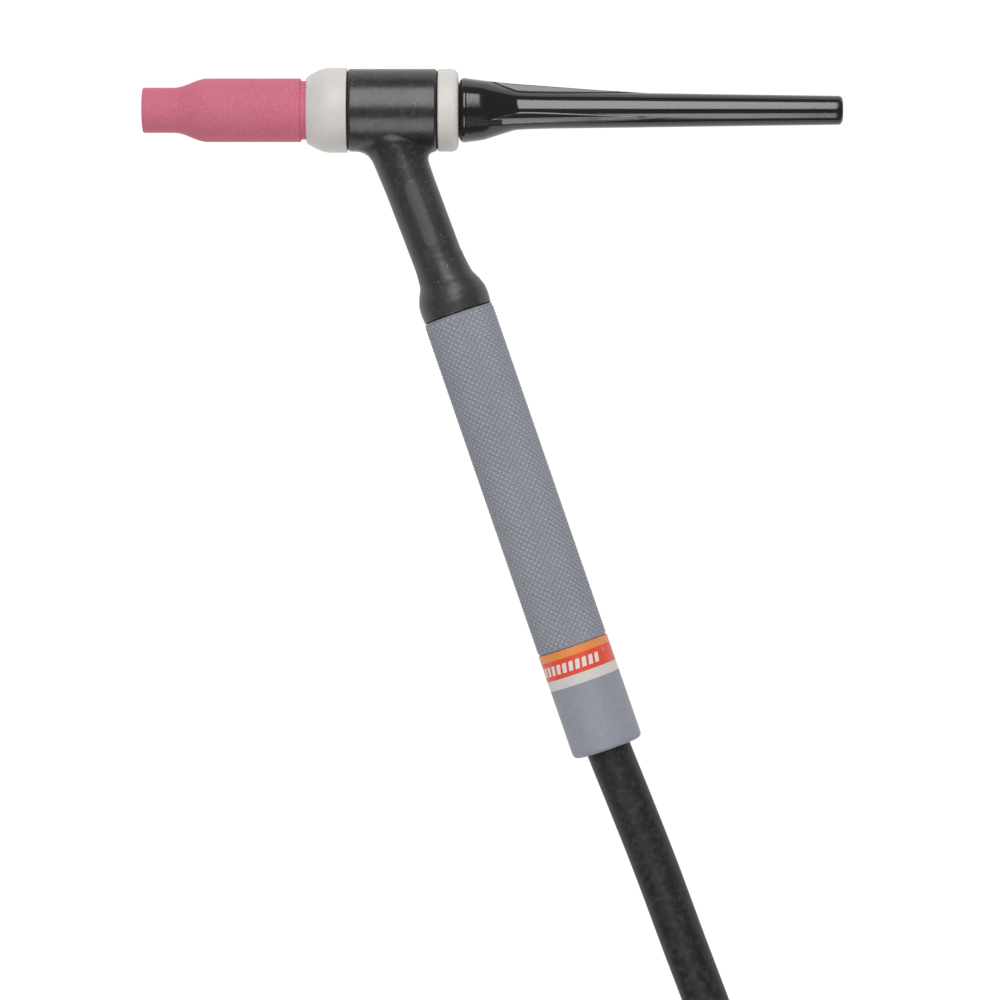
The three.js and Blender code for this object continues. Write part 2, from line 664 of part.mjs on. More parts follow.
torchFrame.add(
    piece('ceramic_nozzle', ceramicNozzle(), alumina()),
    piece('front_insulator', frontInsulator(), fluoropolymer()),
    piece('collet_body', colletBody(), brass()),
    piece('collet', collet(), copper()),
    piece('tungsten_electrode', electrode(), tungsten()),
    piece('rear_insulator', rearInsulator(), fluoropolymer()),
    piece('back_cap', backCap(), blackPhenolic()),
    piece('cap_insert', capInsert(), brass()),
    piece('cap_seal', capSeal(), blackRubber()),
);

const nippleStart = TUBE_REACH + GAP;
const stemNutStart = nippleStart + NIPPLE_HEX_LENGTH + GAP;
const stem = fittingStations(STEM_FITTING, stemNutStart);
const bandInnerR = HANDLE_R - BAND_THICKNESS;
handleFrame.add(
    piece('handle', handle(), greyPlastic()),
    piece('label_band', plainTube(bandInnerR, HANDLE_R, BAND_STATION, BAND_STATION + BAND_LENGTH,
        ROUND), material(0xd95a3c, 0.5, 0)),
    piece('stem_nipple', stemNipple(nippleStart), brass()),
    piece('cable_nut', unionNut(STEM_FITTING, stemNutStart), brass()),
    piece('cable_nipple', cableNipple(STEM_FITTING, stem.collar), brass()),
    piece('cable_ferrule', ferrule(STEM_FITTING, stem.ferruleStart), brass()),
);

const torch = new THREE.Group();
torch.add(
    torchFrame,
    handleFrame,
    piece('head_insulation', headInsulation(), blackRubber()),
    piece('head_core', headCore(), brass()),
    piece('neck_tube', neckTube(), copper()),
);

// The torch lies with its widest ring on the ground, and the origin is under the middle of it.
const box = new THREE.Box3().setFromObject(torch, true);
const middle = box.getCenter(new THREE.Vector3());
torch.position.set(-middle.x, -middle.y, -box.min.z);

const farEnd = machineFrame();
const machine = fittingStations(MACHINE_FITTING, 0);
farEnd.add(
    piece('machine_nut', unionNut(MACHINE_FITTING, 0), brass()),
    piece('machine_nipple', cableNipple(MACHINE_FITTING, machine.collar), brass()),
    piece('machine_ferrule', ferrule(MACHINE_FITTING, machine.ferruleStart), brass()),
);

const group = new THREE.Group();
group.add(
    torch,
    farEnd,
    piece('power_cable', cableOutsideCoil(CABLE_LEAD, 16), blackRubber()),
    piece('cable_coil', coilRing(), blackRubber()),
    piece('cable_end', cableOutsideCoil(CABLE_TAIL, 10), blackRubber()),
);
TIE_ANGLES.forEach((angle, i) => {
    group.add(piece(`coil_tie_${i + 1}`, coilTie(angle), strapFabric()));
});

export default group;
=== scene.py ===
"""TIG torch lying on its side: the visible pieces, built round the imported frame.

Sizes are in millimetres and angles in degrees; put_mesh() turns them into metres. The torch
axis runs along X with the nozzle towards -X. Stations on it are measured from the nozzle's
mouth, stations on the neck from the torch axis, and stations on the handle from its top edge.
"""
import json
import math

import bmesh
import bpy
import numpy as np
from mathutils import Matrix, Vector


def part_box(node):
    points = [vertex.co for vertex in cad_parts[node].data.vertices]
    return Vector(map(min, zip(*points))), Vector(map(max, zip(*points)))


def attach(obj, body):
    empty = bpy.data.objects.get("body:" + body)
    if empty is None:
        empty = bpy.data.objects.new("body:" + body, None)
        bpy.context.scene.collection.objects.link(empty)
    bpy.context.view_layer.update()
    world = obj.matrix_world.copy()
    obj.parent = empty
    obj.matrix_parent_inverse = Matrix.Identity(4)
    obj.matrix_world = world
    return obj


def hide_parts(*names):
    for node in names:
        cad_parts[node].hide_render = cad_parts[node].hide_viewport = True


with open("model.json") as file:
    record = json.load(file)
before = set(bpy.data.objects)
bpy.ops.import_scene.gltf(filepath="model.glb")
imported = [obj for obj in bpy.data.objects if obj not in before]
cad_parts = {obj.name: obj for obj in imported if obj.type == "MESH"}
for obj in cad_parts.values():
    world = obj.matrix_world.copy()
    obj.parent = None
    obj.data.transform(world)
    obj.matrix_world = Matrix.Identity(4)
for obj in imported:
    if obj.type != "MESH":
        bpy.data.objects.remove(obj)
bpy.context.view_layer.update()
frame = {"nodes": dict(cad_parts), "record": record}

MM = 0.001
TAU = 2 * math.pi

# ---- driving sizes ------------------------------------------------------------------------

GAP = 0.3                         # clearance between neighbouring pieces
# A name that ends in _R is a radius, and one in _START or _END is a station.

NOZZLE_TIP_R, NOZZLE_R, NOZZLE_COLLAR_R = 6.75, 9.5, 8.75
NOZZLE_BORE_R, NOZZLE_CHAMBER_R = 4.75, 6.5
NOZZLE_FLARE_START, NOZZLE_FLARE_END = 9.9, 18.9
NOZZLE_COLLAR_START, NOZZLE_END = 47.4, 51.9

GASKET_START, GASKET_END = 49.1, 61.3
GASKET_FACE_R, GASKET_R = 10.2, 12.7
GASKET_FLOOR = 52.2
CORE_START, CORE_R = 56.2, 9.3

BARREL_R, BARREL_START, BARREL_END = 12.35, 61.6, 88.2
CORE_END = 92.0
RING_START, RING_END = 88.5, 94.65

NECK_STATION, NECK_LEAN, NECK_LENGTH = 71.6, 20.7, 65.6
SPIGOT_R, SPIGOT_LENGTH = 8.0, 14   # the part of the head that the handle slides over
TUBE_R = 4.75

HANDLE_LEAN, HANDLE_R, HANDLE_LENGTH, HANDLE_BORE_R = 19.05, 10.8, 137.6, 8.4
HANDLE_END_WALL, CABLE_HOLE_R = 5.6, 7.1
BAND_STATION, BAND_LENGTH = 105, 11.1
BARS_AROUND, BARS_SHARE = 32, 0.75   # each half turn of the band carries 12 of 16 possible bars
KNURL_START, KNURL_DEPTH = 0.4, 0.36
KNURL_ROWS, KNURL_AROUND = 55, 34   # pyramids along the grip and round it

CAP_START, CAP_LENGTH = 94.95, 114.9
CAP_END = CAP_START + CAP_LENGTH
CAP_BASE_R = 9.7
CAP_BORE_R, CAP_SOCKET_R, CAP_SOCKET_LENGTH, CAP_TIP_WALL = 2.2, 5.0, 11.3, 12.5
FIN_ANGLES = (88, -32, -152)      # from +Z towards +Y, about the torch axis
FIN_WEDGE = 20                    # degrees that each flank leans

NOZZLE_THREAD_PITCH, CAP_THREAD_PITCH, NUT_THREAD_PITCH = 1.5, 1.25, 1.5

CABLE_R = 6.7
COIL_CENTRE = (-14.75, -294.0)
COIL_PITCH, COIL_START_R = 13.5, 101.25
COIL_LOW_Z, COIL_HIGH_Z = 8.05, 21.55
COIL_LAYER_TURN = 1080            # degrees wound in the lower layer
COIL_CLIMB_TURN = 95              # degrees wound while it climbs to the upper layer
COIL_END_TURN = 2250
TIE_ANGLES, TIE_WIDTH, TIE_THICKNESS = (90, -45), 16, 0.9

# The cable's centre from inside the handle to the coil, and from the coil to its far fitting.
CABLE_LEAD = [
    (25.15, -72.8, 12.7), (27.1, -78.4, 12.7), (29.9, -86.6, 12.7), (32.6, -94.4, 12.7),
    (34.9, -101.0, 12.6), (38.9, -110.9, 12.2), (42.8, -120.6, 11.5), (46.7, -130.4, 10.7),
    (50.5, -140.3, 9.8), (54.2, -150.3, 9.0), (57.9, -160.3, 8.3), (61.7, -170.3, 7.7),
    (65.5, -180.4, 7.3), (69.3, -191.0, 7.1), (73.0, -203.0, 7.2), (76.4, -216.0, 7.4),
    (79.6, -230.5, 7.7), (82.4, -246.0, 7.9), (84.7, -262.0, 8.0), (86.1, -278.0, 8.05),
]
CABLE_TAIL = [
    (-32.4, -394.1, 21.6), (-49.8, -390.4, 21.5), (-67.0, -384.5, 20.8), (-83.7, -376.1, 19.2),
    (-99.6, -365.2, 16.9), (-113.9, -351.2, 14.3), (-125.4, -334.3, 12.1), (-133.0, -314.9, 10.6),
    (-136.2, -294.0, 9.8), (-135.1, -278.0, 9.6), (-134.0, -262.1, 9.6),
]

# ---- the three axes, from the frame --------------------------------------------------------


class Axis:
    """A line to build round: a point at a radius, a station and an angle from +Z."""

    def __init__(self, origin, direction):
        self.origin = np.array(origin, float)
        self.along = np.array(direction, float)
        self.up = np.array((0.0, 0.0, 1.0))
        self.side = np.cross(self.along, self.up)

    def points(self, radius, station, angle):
        """Places polar coordinates; the angle is in radians from +Z, away from side."""
        across = -np.asarray(radius * np.sin(angle))[..., None] * self.side
        height = np.asarray(radius * np.cos(angle))[..., None] * self.up
        length = np.asarray(station * np.ones_like(angle))[..., None] * self.along
        return self.origin + across + height + length

    def local(self, points):
        """Coordinates across, along and above the line."""
        offset = points - self.origin
        return offset @ self.side, offset @ self.along, offset @ self.up

    def matrix(self):
        """Takes local metres (side, along, up) to the frame."""
        columns = [list(self.side), list(self.along), list(self.up)]
        turn = Matrix(columns).transposed().to_4x4()
        return Matrix.Translation(Vector(self.origin * MM)) @ turn


def lean(angle):
    return math.sin(math.radians(angle)), -math.cos(math.radians(angle)), 0.0


def middle(node):
    low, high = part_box(node)
    return np.array((low + high) / 2) / MM


nozzle_low = np.array(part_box("ceramic_nozzle")[0]) / MM
TORCH = Axis((nozzle_low[0], *middle("ceramic_nozzle")[1:]), (1.0, 0.0, 0.0))
NECK = Axis(TORCH.origin + NECK_STATION * TORCH.along, lean(NECK_LEAN))
handle_direction = np.array(lean(HANDLE_LEAN))
HANDLE = Axis(middle("handle") - handle_direction * HANDLE_LENGTH / 2, handle_direction)

# ---- camera --------------------------------------------------------------------------------

CAMERA_AT = (2.175, -26.03)       # X and Y
CAMERA_HEIGHT = 1230              # above the torch axis
CAMERA_LENS = 147.6


def put_object(name, data):
    """An object in the scene for a mesh, a camera or a light."""
    made = bpy.data.objects.new(name, data)
    bpy.context.scene.collection.objects.link(made)
    return made


def make_camera():
    """It looks straight down."""
    data = bpy.data.cameras.new("camera")
    data.lens = CAMERA_LENS
    data.sensor_width = 36
    data.clip_end = 20
    camera = put_object("camera", data)
    camera.location = Vector((*CAMERA_AT, TORCH.origin[2] + CAMERA_HEIGHT)) * MM
    bpy.context.scene.camera = camera


make_camera()

# ---- node helpers --------------------------------------------------------------------------


class Nodes:
    """Short calls that add nodes to a tree and join them."""

    def __init__(self, tree):
        self.tree = tree

    def put(self, socket, value):
        if isinstance(value, bpy.types.NodeSocket):
            self.tree.links.new(value, socket)
        else:
            socket.default_value = value

    def node(self, kind, settings=None, **inputs):
        """Adds a node; an underscore in an input's name stands for a space."""
        made = self.tree.nodes.new(kind)
        for key, value in (settings or {}).items():
            setattr(made, key, value)
        for key, value in inputs.items():
            label = key.replace("_", " ")
            self.put(next(s for s in made.inputs if s.name == label and s.enabled), value)
        return made

    def math(self, operation, *values):
        made = self.node("ShaderNodeMath", {"operation": operation})
        for socket, value in zip(made.inputs, values):
            self.put(socket, value)
        return made.outputs[0]


class Finish(Nodes):
    """A material, with short calls for the patterns that its look is made of."""

    def __init__(self, name):
        self.material = bpy.data.materials.new(name)
        self.material.use_nodes = True
        self.material.diffuse_color = (0.5, 0.5, 0.5, 1)
        super().__init__(self.material.node_tree)
        self.shader = self.tree.nodes["Principled BSDF"]

    def set(self, **inputs):
        for key, value in inputs.items():
            self.put(self.shader.inputs[key.replace("_", " ")], value)

    def place(self):
        return self.node("ShaderNodeTexCoord").outputs["Object"]

    def uv(self):
        return self.node("ShaderNodeTexCoord").outputs["UV"]

    def noise(self, scale, detail, vector=None):
        made = self.node("ShaderNodeTexNoise", Scale=scale, Detail=detail)
        self.put(made.inputs["Vector"], vector or self.place())
        return made.outputs["Fac"]

    def stretched(self, vector, scale):
        return self.node("ShaderNodeMapping", Vector=vector, Scale=scale).outputs[0]

    def vectors(self, operation, a, b):
        made = self.node("ShaderNodeVectorMath", {"operation": operation})
        self.put(made.inputs[0], a)
        self.put(made.inputs[1], tuple(b))
        return made.outputs

    def ramp(self, value, *stops, constant=False):
        """Stops are (position, colour or grey)."""
        made = self.node("ShaderNodeValToRGB", Fac=value)
        made.color_ramp.interpolation = "CONSTANT" if constant else "LINEAR"
        elements = made.color_ramp.elements
        while len(elements) < len(stops):
            elements.new(1.0)
        for element, (position, colour) in zip(elements, stops):
            element.position = position
            grey = isinstance(colour, (int, float))
            element.color = (colour, colour, colour, 1) if grey else (*colour, 1)
        return made.outputs["Color"]

    def mix(self, share, a, b):
        made = self.node("ShaderNodeMix", {"data_type": "RGBA"})
        for key, value in (("Factor_Float", share), ("A_Color", a), ("B_Color", b)):
            socket = next(s for s in made.inputs if s.identifier == key)
            self.put(socket, (*value, 1) if isinstance(value, tuple) else value)
        return next(s for s in made.outputs if s.identifier == "Result_Color")

    def bump(self, height, depth):
        """Adds relief to any that is there already; depth is in millimetres."""
        made = self.node("ShaderNodeBump", Height=height, Distance=depth * MM)
        previous = self.shader.inputs["Normal"].links
        if previous:
            self.put(made.inputs["Normal"], previous[0].from_socket)
        self.set(Normal=made.outputs["Normal"])


# ---- mesh helpers --------------------------------------------------------------------------


def put_mesh(name, points, faces, material, uvs=None, smooth=35):
    """A finished mesh object in metres, its faces outwards, sharp where it bends by more than
    smooth degrees."""
    mesh = bpy.data.meshes.new(name)
    mesh.from_pydata((np.asarray(points) * MM).tolist(), [], [list(map(int, f)) for f in faces])
    if uvs is not None:
        layer = mesh.uv_layers.new(name="UVMap")
        layer.data.foreach_set("uv", np.asarray(uvs, float).reshape(-1))
    form = bmesh.new()
    form.from_mesh(mesh)
    bmesh.ops.remove_doubles(form, verts=form.verts, dist=1e-7)
    bmesh.ops.dissolve_degenerate(form, edges=form.edges, dist=1e-8)
    bmesh.ops.recalc_face_normals(form, faces=form.faces)
    form.to_mesh(mesh)
    form.free()
    mesh.materials.append(material)
    mesh.shade_smooth()
    mesh.set_sharp_from_angle(angle=math.radians(smooth))
    return put_object(name, mesh)


def belongs(piece, body, slot, *replaced):
    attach(piece, body)
    if replaced:
        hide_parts(*replaced)
    return piece


def skin(loops, angles, closed):
    """Faces and texture places for loops of points that go once round an axis."""
    rows, count = len(loops), len(angles)
    faces, uvs = [], []
    lengths = [0.0]
    for a, b in zip(loops, loops[1:]):
        lengths.append(lengths[-1] + float(np.linalg.norm(b[0] - a[0])))
    if closed:
        lengths.append(lengths[-1] + float(np.linalg.norm(loops[-1][0] - loops[0][0])))
    total = lengths[-1]
    for i in range(rows if closed else rows - 1):
        here, after = i * count, (i + 1) % rows * count
        low, high = lengths[i] / total, lengths[i + 1] / total
        for j in range(count):
            k = (j + 1) % count
            u, next_u = j / count, (j + 1) / count
            faces.append((here + j, here + k, after + k, after + j))
            uvs += [(u, low), (next_u, low), (next_u, high), (u, high)]
    return faces, uvs


def even_angles(count):
    return np.arange(count) * TAU / count


def turned(name, axis, outline, material, angles, closed=True, smooth=35):
    """Turns (radius, station) pairs about an axis; a radius may be an array over the angles."""
    loops = [axis.points(np.asarray(r) * np.ones_like(angles), s, angles) for r, s in outline]
    faces, uvs = skin(loops, angles, closed)
    return put_mesh(name, np.concatenate(loops), faces, material, uvs, smooth)


def rounded(*corners, steps=5):
    """A closed outline of (radius, station, fillet) corners, each one rounded by its fillet."""
    outline = []
    count = len(corners)
    for i, corner in enumerate(corners):
        here = np.array(corner[:2], float)
        fillet = corner[2] if len(corner) > 2 else 0
        before = np.array(corners[i - 1][:2], float) - here
        after = np.array(corners[(i + 1) % count][:2], float) - here
        reach = min(fillet, 0.49 * np.linalg.norm(before), 0.49 * np.linalg.norm(after))
        if reach <= 0:
            outline.append(tuple(here))
            continue
        start = here + before / np.linalg.norm(before) * reach
        end = here + after / np.linalg.norm(after) * reach
        for t in np.linspace(0, 1, steps):
            bent = (1 - t) ** 2 * start + 2 * t * (1 - t) * here + t ** 2 * end
            outline.append(tuple(bent))
    return outline


def ease(t):
    t = np.clip(t, 0, 1)
    return t * t * (3 - 2 * t)


def swell(from_r, from_station, to_r, to_station, steps):
    """Points of a smooth S-shaped change of radius."""
    share = np.linspace(0, 1, steps)
    radii = from_r + (to_r - from_r) * ease(share)
    return [(r, s) for r, s in zip(radii, np.linspace(from_station, to_station, steps))]


def soft_max(a, b, width):
    """The larger of two radii, rounded where they cross."""
    share = np.clip(0.5 + 0.5 * (a - b) / width, 0, 1)
    return b + (a - b) * share + width * share * (1 - share)


def soft_min(a, b, width):
    return -soft_max(-a, -b, width)


def thread(root_r, crest_r, pitch, start, end, angles, steps=8):
    """Loops of a right-hand screw thread that fades out at both ends."""
    outline = []
    for s in np.arange(start, end + 1e-6, pitch / steps):
        phase = (s / pitch + angles / TAU) % 1
        ridge = ease(np.clip(1.6 - 3.2 * np.abs(phase - 0.5), 0, 1))
        fade = float(ease(min(s - start, end - s) / pitch + 0.2))
        outline.append((root_r + (crest_r - root_r) * ridge * fade, float(s)))
    return outline


# ---- finishes ------------------------------------------------------------------------------


def alumina():
    t = Finish("pink_alumina")
    cloud = t.noise(140, 3)
    grain = t.noise(2600, 3)
    tone = t.ramp(cloud, (0.3, (0.585, 0.142, 0.212)), (0.7, (0.61, 0.154, 0.230)))
    tone = t.mix(t.ramp(grain, (0.33, 0.34), (0.5, 0.0)), tone, (0.40, 0.07, 0.11))
    t.set(Base_Color=t.mix(t.ramp(grain, (0.52, 0.0), (0.72, 0.26)), tone, (0.86, 0.42, 0.5)))
    t.set(Roughness=t.ramp(grain, (0.3, 0.62), (0.7, 0.82)), Specular_IOR_Level=0.35)
    t.bump(grain, 0.035)
    t.bump(cloud, 0.05)
    return t.material


def white_insulator():
    t = Finish("white_insulator")
    cloud = t.noise(90, 3)
    lathe_marks = t.noise(260, 2, t.stretched(t.place(), (9, 0.4, 0.4)))
    tone = t.ramp(cloud, (0.3, (0.63, 0.595, 0.565)), (0.72, (0.70, 0.665, 0.635)))
    grain = t.noise(1700, 4)
    tone = t.mix(t.ramp(grain, (0.34, 0.30), (0.5, 0.0)), tone, (0.50, 0.465, 0.43))
    t.set(Base_Color=tone, Roughness=t.ramp(lathe_marks, (0.3, 0.42), (0.7, 0.55)))
    t.set(Subsurface_Weight=0.12, Subsurface_Scale=1.2 * MM, Specular_IOR_Level=0.4)
    t.shader.inputs["Subsurface Radius"].default_value = (1.0, 0.8, 0.7)
    t.bump(lathe_marks, 0.012)
    return t.material


def head_rubber(dust=0.0):
    """Black rubber, paler and rougher along the neck and foot, with a few specks of dust."""
    t = Finish("head_rubber")
    cloud = t.noise(170, 4)
    fine = t.noise(1500, 3)
    height = t.node("ShaderNodeSeparateXYZ", Vector=t.place()).outputs["Y"]
    toward_neck = t.ramp(t.math("MULTIPLY", height, 10.0), (0.68, 1.0), (0.80, 0.0))   # decimetres
    specks = t.node("ShaderNodeTexVoronoi", Vector=t.place(), Scale=620.0, Randomness=1.0)
    near = t.math("LESS_THAN", specks.outputs["Distance"], 0.085)
    chosen = t.math("GREATER_THAN", t.noise(330, 2), 0.56)
    dusty = t.math("MULTIPLY", near, chosen)
    base = t.ramp(cloud, (0.3, (0.013, 0.0125, 0.0145)), (0.7, (0.026, 0.0245, 0.026)))
    base = t.mix(dust, base, (0.09, 0.088, 0.09))
    base = t.mix(t.ramp(t.noise(700, 3), (0.54, 0.0), (0.70, 0.26)), base, (0.12, 0.11, 0.10))
    # paler colour along the neck and foot, away from the barrel
    base = t.mix(t.math("MULTIPLY", toward_neck, 0.24), base, (0.082, 0.078, 0.078))
    t.set(Base_Color=t.mix(t.math("MULTIPLY", dusty, 0.85), base, (0.50, 0.48, 0.45)))
    rough = t.math("MULTIPLY_ADD", cloud, 0.16, 0.16 + 0.2 * dust)
    rough = t.math("MULTIPLY_ADD", toward_neck, 0.10, rough)
    t.set(Roughness=t.math("MULTIPLY_ADD", fine, 0.12, rough), Specular_IOR_Level=0.5)
    t.bump(cloud, 0.09)
    t.bump(fine, 0.014)
    t.bump(near, 0.03)
    return t.material


def black_phenolic():
    t = Finish("black_phenolic")
    flow = t.noise(110, 2, t.stretched(t.place(), (0.25, 1, 1)))
    fine = t.noise(2600, 2)
    t.set(Base_Color=t.ramp(flow, (0.3, (0.0065, 0.0065, 0.008)), (0.7, (0.010, 0.0095, 0.011))))
    t.set(Roughness=t.ramp(fine, (0.35, 0.09), (0.75, 0.17)), IOR=1.6)
    t.bump(flow, 0.07)
    t.bump(t.noise(620, 3), 0.006)
    t.bump(fine, 0.0025)
    return t.material


def handle_plastic():
    """The knurl's grooves are darkened as painted shade and its pyramid tips lightened as painted
    highlight with some wear: depth is read from the distance to the handle's axis.
    """
    t = Finish("grey_plastic")
    cloud = t.noise(60, 3)
    fine = t.noise(2400, 2)
    mottle = t.noise(850, 4)
    tone = t.ramp(cloud, (0.3, (0.281, 0.296, 0.339)), (0.7, (0.309, 0.325, 0.366)))
    tone = t.mix(t.ramp(mottle, (0.35, 0.22), (0.62, 0.0)), tone, (0.17, 0.178, 0.204))
    tone = t.mix(t.math("MULTIPLY", fine, 0.1), tone, (0.42, 0.44, 0.5))
    offset = t.vectors("SUBTRACT", t.place(), HANDLE.origin * MM)["Vector"]
    side, up, along = (t.vectors("DOT_PRODUCT", offset, direction)["Value"]
                       for direction in (HANDLE.side, HANDLE.up, HANDLE.along))
    squares = [t.math("POWER", distance, 2.0) for distance in (side, up)]
    radius = t.math("SQRT", t.math("ADD", *squares))
    in_knurl = t.math("LESS_THAN", along, (BAND_STATION - 0.8) * MM)
    depth = t.math("DIVIDE", t.math("SUBTRACT", HANDLE_R * MM, radius), KNURL_DEPTH * MM)
    # painted shade: the knurl's grooves are darkened by their depth
    painted_groove_shade = t.math("MULTIPLY", t.ramp(depth, (0.3, 0.0), (0.95, 0.26)), in_knurl)
    tone = t.mix(painted_groove_shade, tone, (0.115, 0.12, 0.14))
    # painted highlight, with some wear: the pyramids' tips are lightened
    tip_highlight_and_wear = t.math("MULTIPLY", t.ramp(depth, (0.0, 0.62), (0.5, 0.0)), in_knurl)
    t.set(Base_Color=t.mix(tip_highlight_and_wear, tone, (0.46, 0.48, 0.53)))
    t.set(Roughness=t.ramp(fine, (0.3, 0.46), (0.7, 0.6)), Specular_IOR_Level=0.45)
    t.bump(fine, 0.01)
    t.bump(mottle, 0.03)
    return t.material


def band_print():
    """Three printed stripes, and slanted bars on the middle one. V runs from 0 at the band's
    upper edge to 1 at its lower edge."""
    t = Finish("band_print")
    split = t.node("ShaderNodeSeparateXYZ", Vector=t.uv()).outputs
    around, along = split["X"], split["Y"]
    orange_end, red_end = 2.4 / BAND_LENGTH, 8.1 / BAND_LENGTH
    wobble = t.math("MULTIPLY_ADD", t.noise(900, 2), 0.012, along)
    colours = t.ramp(wobble, (0.0, (0.80, 0.268, 0.068)), (orange_end, (0.77, 0.076, 0.036)),
                     (red_end, (0.66, 0.635, 0.61)), constant=True)
    slant = t.math("MULTIPLY_ADD", along, 1.15, t.math("MULTIPLY", around, float(BARS_AROUND)))
    bar = t.math("LESS_THAN", t.math("FRACT", slant), 0.62)
    low = t.math("GREATER_THAN", wobble, orange_end + 0.135)
    high = t.math("LESS_THAN", wobble, red_end - 0.125)
    printed = t.math("MULTIPLY", bar, t.math("MULTIPLY", low, high))
    number = t.math("FLOOR", slant)
    share = t.math("MULTIPLY_ADD", number, 2.0 / BARS_AROUND, 0.5 + 1.0 / BARS_AROUND)
    kept = t.math("LESS_THAN", t.math("FRACT", share), BARS_SHARE)
    inked = t.mix(t.math("MULTIPLY", printed, kept), colours, (0.76, 0.73, 0.71))
    worn = t.ramp(t.noise(420, 4), (0.62, 0.0), (0.70, 0.35))
    t.set(Base_Color=t.mix(worn, inked, (0.62, 0.5, 0.46)))
    t.set(Roughness=t.ramp(t.noise(700, 2), (0.3, 0.36), (0.7, 0.5)))
    t.bump(t.noise(1600, 2), 0.008)
    return t.material


def cable_rubber():
    """The sheath: U runs once along the cable and V once round it."""
    t = Finish("cable_rubber")
    cloud = t.noise(120, 4)
    fine = t.noise(1900, 3)
    mottle = t.noise(520, 4)
    drawn = t.noise(1.0, 3, t.stretched(t.uv(), (60, 90, 1)))
    tone = t.ramp(cloud, (0.3, (0.009, 0.009, 0.0105)), (0.7, (0.017, 0.0165, 0.019)))
    tone = t.mix(t.ramp(mottle, (0.46, 0.0), (0.68, 0.55)), tone, (0.048, 0.046, 0.052))
    t.set(Base_Color=t.mix(t.ramp(fine, (0.62, 0.0), (0.72, 0.4)), tone, (0.10, 0.095, 0.09)))
    t.set(Roughness=t.math("MULTIPLY_ADD", mottle, 0.30, 0.38), Specular_IOR_Level=0.36)
    t.bump(mottle, 0.05)
    t.bump(drawn, 0.05)
    t.bump(fine, 0.02)
    return t.material


def metal(name, colour, roughness, metallic=1.0):
    t = Finish(name)
    tool_marks = t.noise(240, 3)
    fine = t.noise(2200, 2)
    darker = tuple(0.72 * c for c in colour)
    t.set(Base_Color=t.mix(tool_marks, darker, colour), Metallic=metallic)
    t.set(Roughness=t.math("MULTIPLY_ADD", fine, 0.18, roughness - 0.05))
    t.bump(tool_marks, 0.02)
    t.bump(fine, 0.006)
    return t.material


def strap_weave():
    """A woven strap: U and V are in millimetres along and across it."""
    t = Finish("woven_strap")
    waves = [t.node("ShaderNodeTexWave", {"bands_direction": way}, Vector=t.uv(), Scale=0.9)
             for way in "XY"]
    weave = t.math("MAXIMUM", *(wave.outputs["Fac"] for wave in waves))
    fuzz = t.noise(2600, 3)
    lit = t.math("MULTIPLY", weave, 0.7)
    t.set(Base_Color=t.mix(lit, (0.010, 0.010, 0.011), (0.034, 0.034, 0.036)))
    t.set(Roughness=0.92, Sheen_Weight=0.25)
    t.bump(weave, 0.22)
    t.bump(fuzz, 0.08)
    return t.material


pink = alumina()
white = white_insulator()
rubber = head_rubber()
dusty_rubber = head_rubber(dust=0.44)
phenolic = black_phenolic()
grey = handle_plastic()
stripes = band_print()
sheath = cable_rubber()
brass = metal("brass", (0.78, 0.56, 0.25), 0.26)
copper = metal("copper", (0.80, 0.42, 0.26), 0.30)
tungsten = metal("tungsten", (0.42, 0.42, 0.44), 0.34)
strap = strap_weave()
yarn = metal("stitch_yarn", (0.05, 0.05, 0.052), 0.8, metallic=0.0)

# ---- cable: its route, its tube and its ties -------------------------------------------------


def coil_point(turn):
    """The cable's centre after some degrees of winding, clockwise from three o'clock."""
    climb = np.clip((turn - COIL_LAYER_TURN) / COIL_CLIMB_TURN, 0, 1)
    inner_r = COIL_START_R - COIL_PITCH * COIL_LAYER_TURN / 360
    if turn <= COIL_LAYER_TURN:
        radius = COIL_START_R - COIL_PITCH * turn / 360
    elif climb < 1:
        radius = inner_r - 0.75 * math.sin(math.pi * climb)
    else:
        radius = inner_r + COIL_PITCH * (turn - COIL_LAYER_TURN - COIL_CLIMB_TURN) / 360
    height = COIL_LOW_Z + (COIL_HIGH_Z - COIL_LOW_Z) * float(ease(climb))
    angle = -math.radians(turn)
    x, y = COIL_CENTRE
    return x + radius * math.cos(angle), y + radius * math.sin(angle), height


def smooth_line(points, spacing):
    """Evenly spaced points on a smooth curve through the given ones."""
    p = np.array(points, float)
    p = np.vstack([2 * p[0] - p[1], p, 2 * p[-1] - p[-2]])
    share = np.linspace(0, 1, 8, endpoint=False)[:, None]
    found = []
    for a, b, c, d in zip(p, p[1:], p[2:], p[3:]):
        found.append(0.5 * (2 * b + (c - a) * share + (2 * a - 5 * b + 4 * c - d) * share ** 2
                            + (3 * b - a - 3 * c + d) * share ** 3))
    line = np.vstack([*found, p[-2:-1]])
    reach = np.r_[0, np.cumsum(np.linalg.norm(np.diff(line, axis=0), axis=1))]
    even = np.linspace(0, reach[-1], int(reach[-1] / spacing) + 1)
    return np.stack([np.interp(even, reach, line[:, k]) for k in range(3)], axis=1), reach[-1]


def tube_rings(line, radius, around):
    """Rings of points square to a line that stays nearly level."""
    ahead = np.gradient(line, axis=0)
    ahead /= np.linalg.norm(ahead, axis=1)[:, None]
    side = np.cross(ahead, (0.0, 0.0, 1.0))
    side /= np.linalg.norm(side, axis=1)[:, None]
    above = np.cross(side, ahead)
    angles = even_angles(around)
    return [p + radius * (np.cos(angles)[:, None] * s + np.sin(angles)[:, None] * u)
            for p, s, u in zip(line, side, above)]


def closed_tube(name, line, radius, material, around):
    """A tube with its two ends closed and slightly drawn in; U runs along it."""
    rings = tube_rings(line, radius, around)
    for end in (0, -1):
        rings[end] = line[end] + (rings[end] - line[end]) * 0.9
    loops = [np.tile(line[0], (around, 1)), *rings, np.tile(line[-1], (around, 1))]
    faces, uvs = skin(loops, range(around), closed=False)
    along_first = [(v, u) for u, v in uvs]
    return put_mesh(name, np.concatenate(loops), faces, material, along_first, smooth=50)


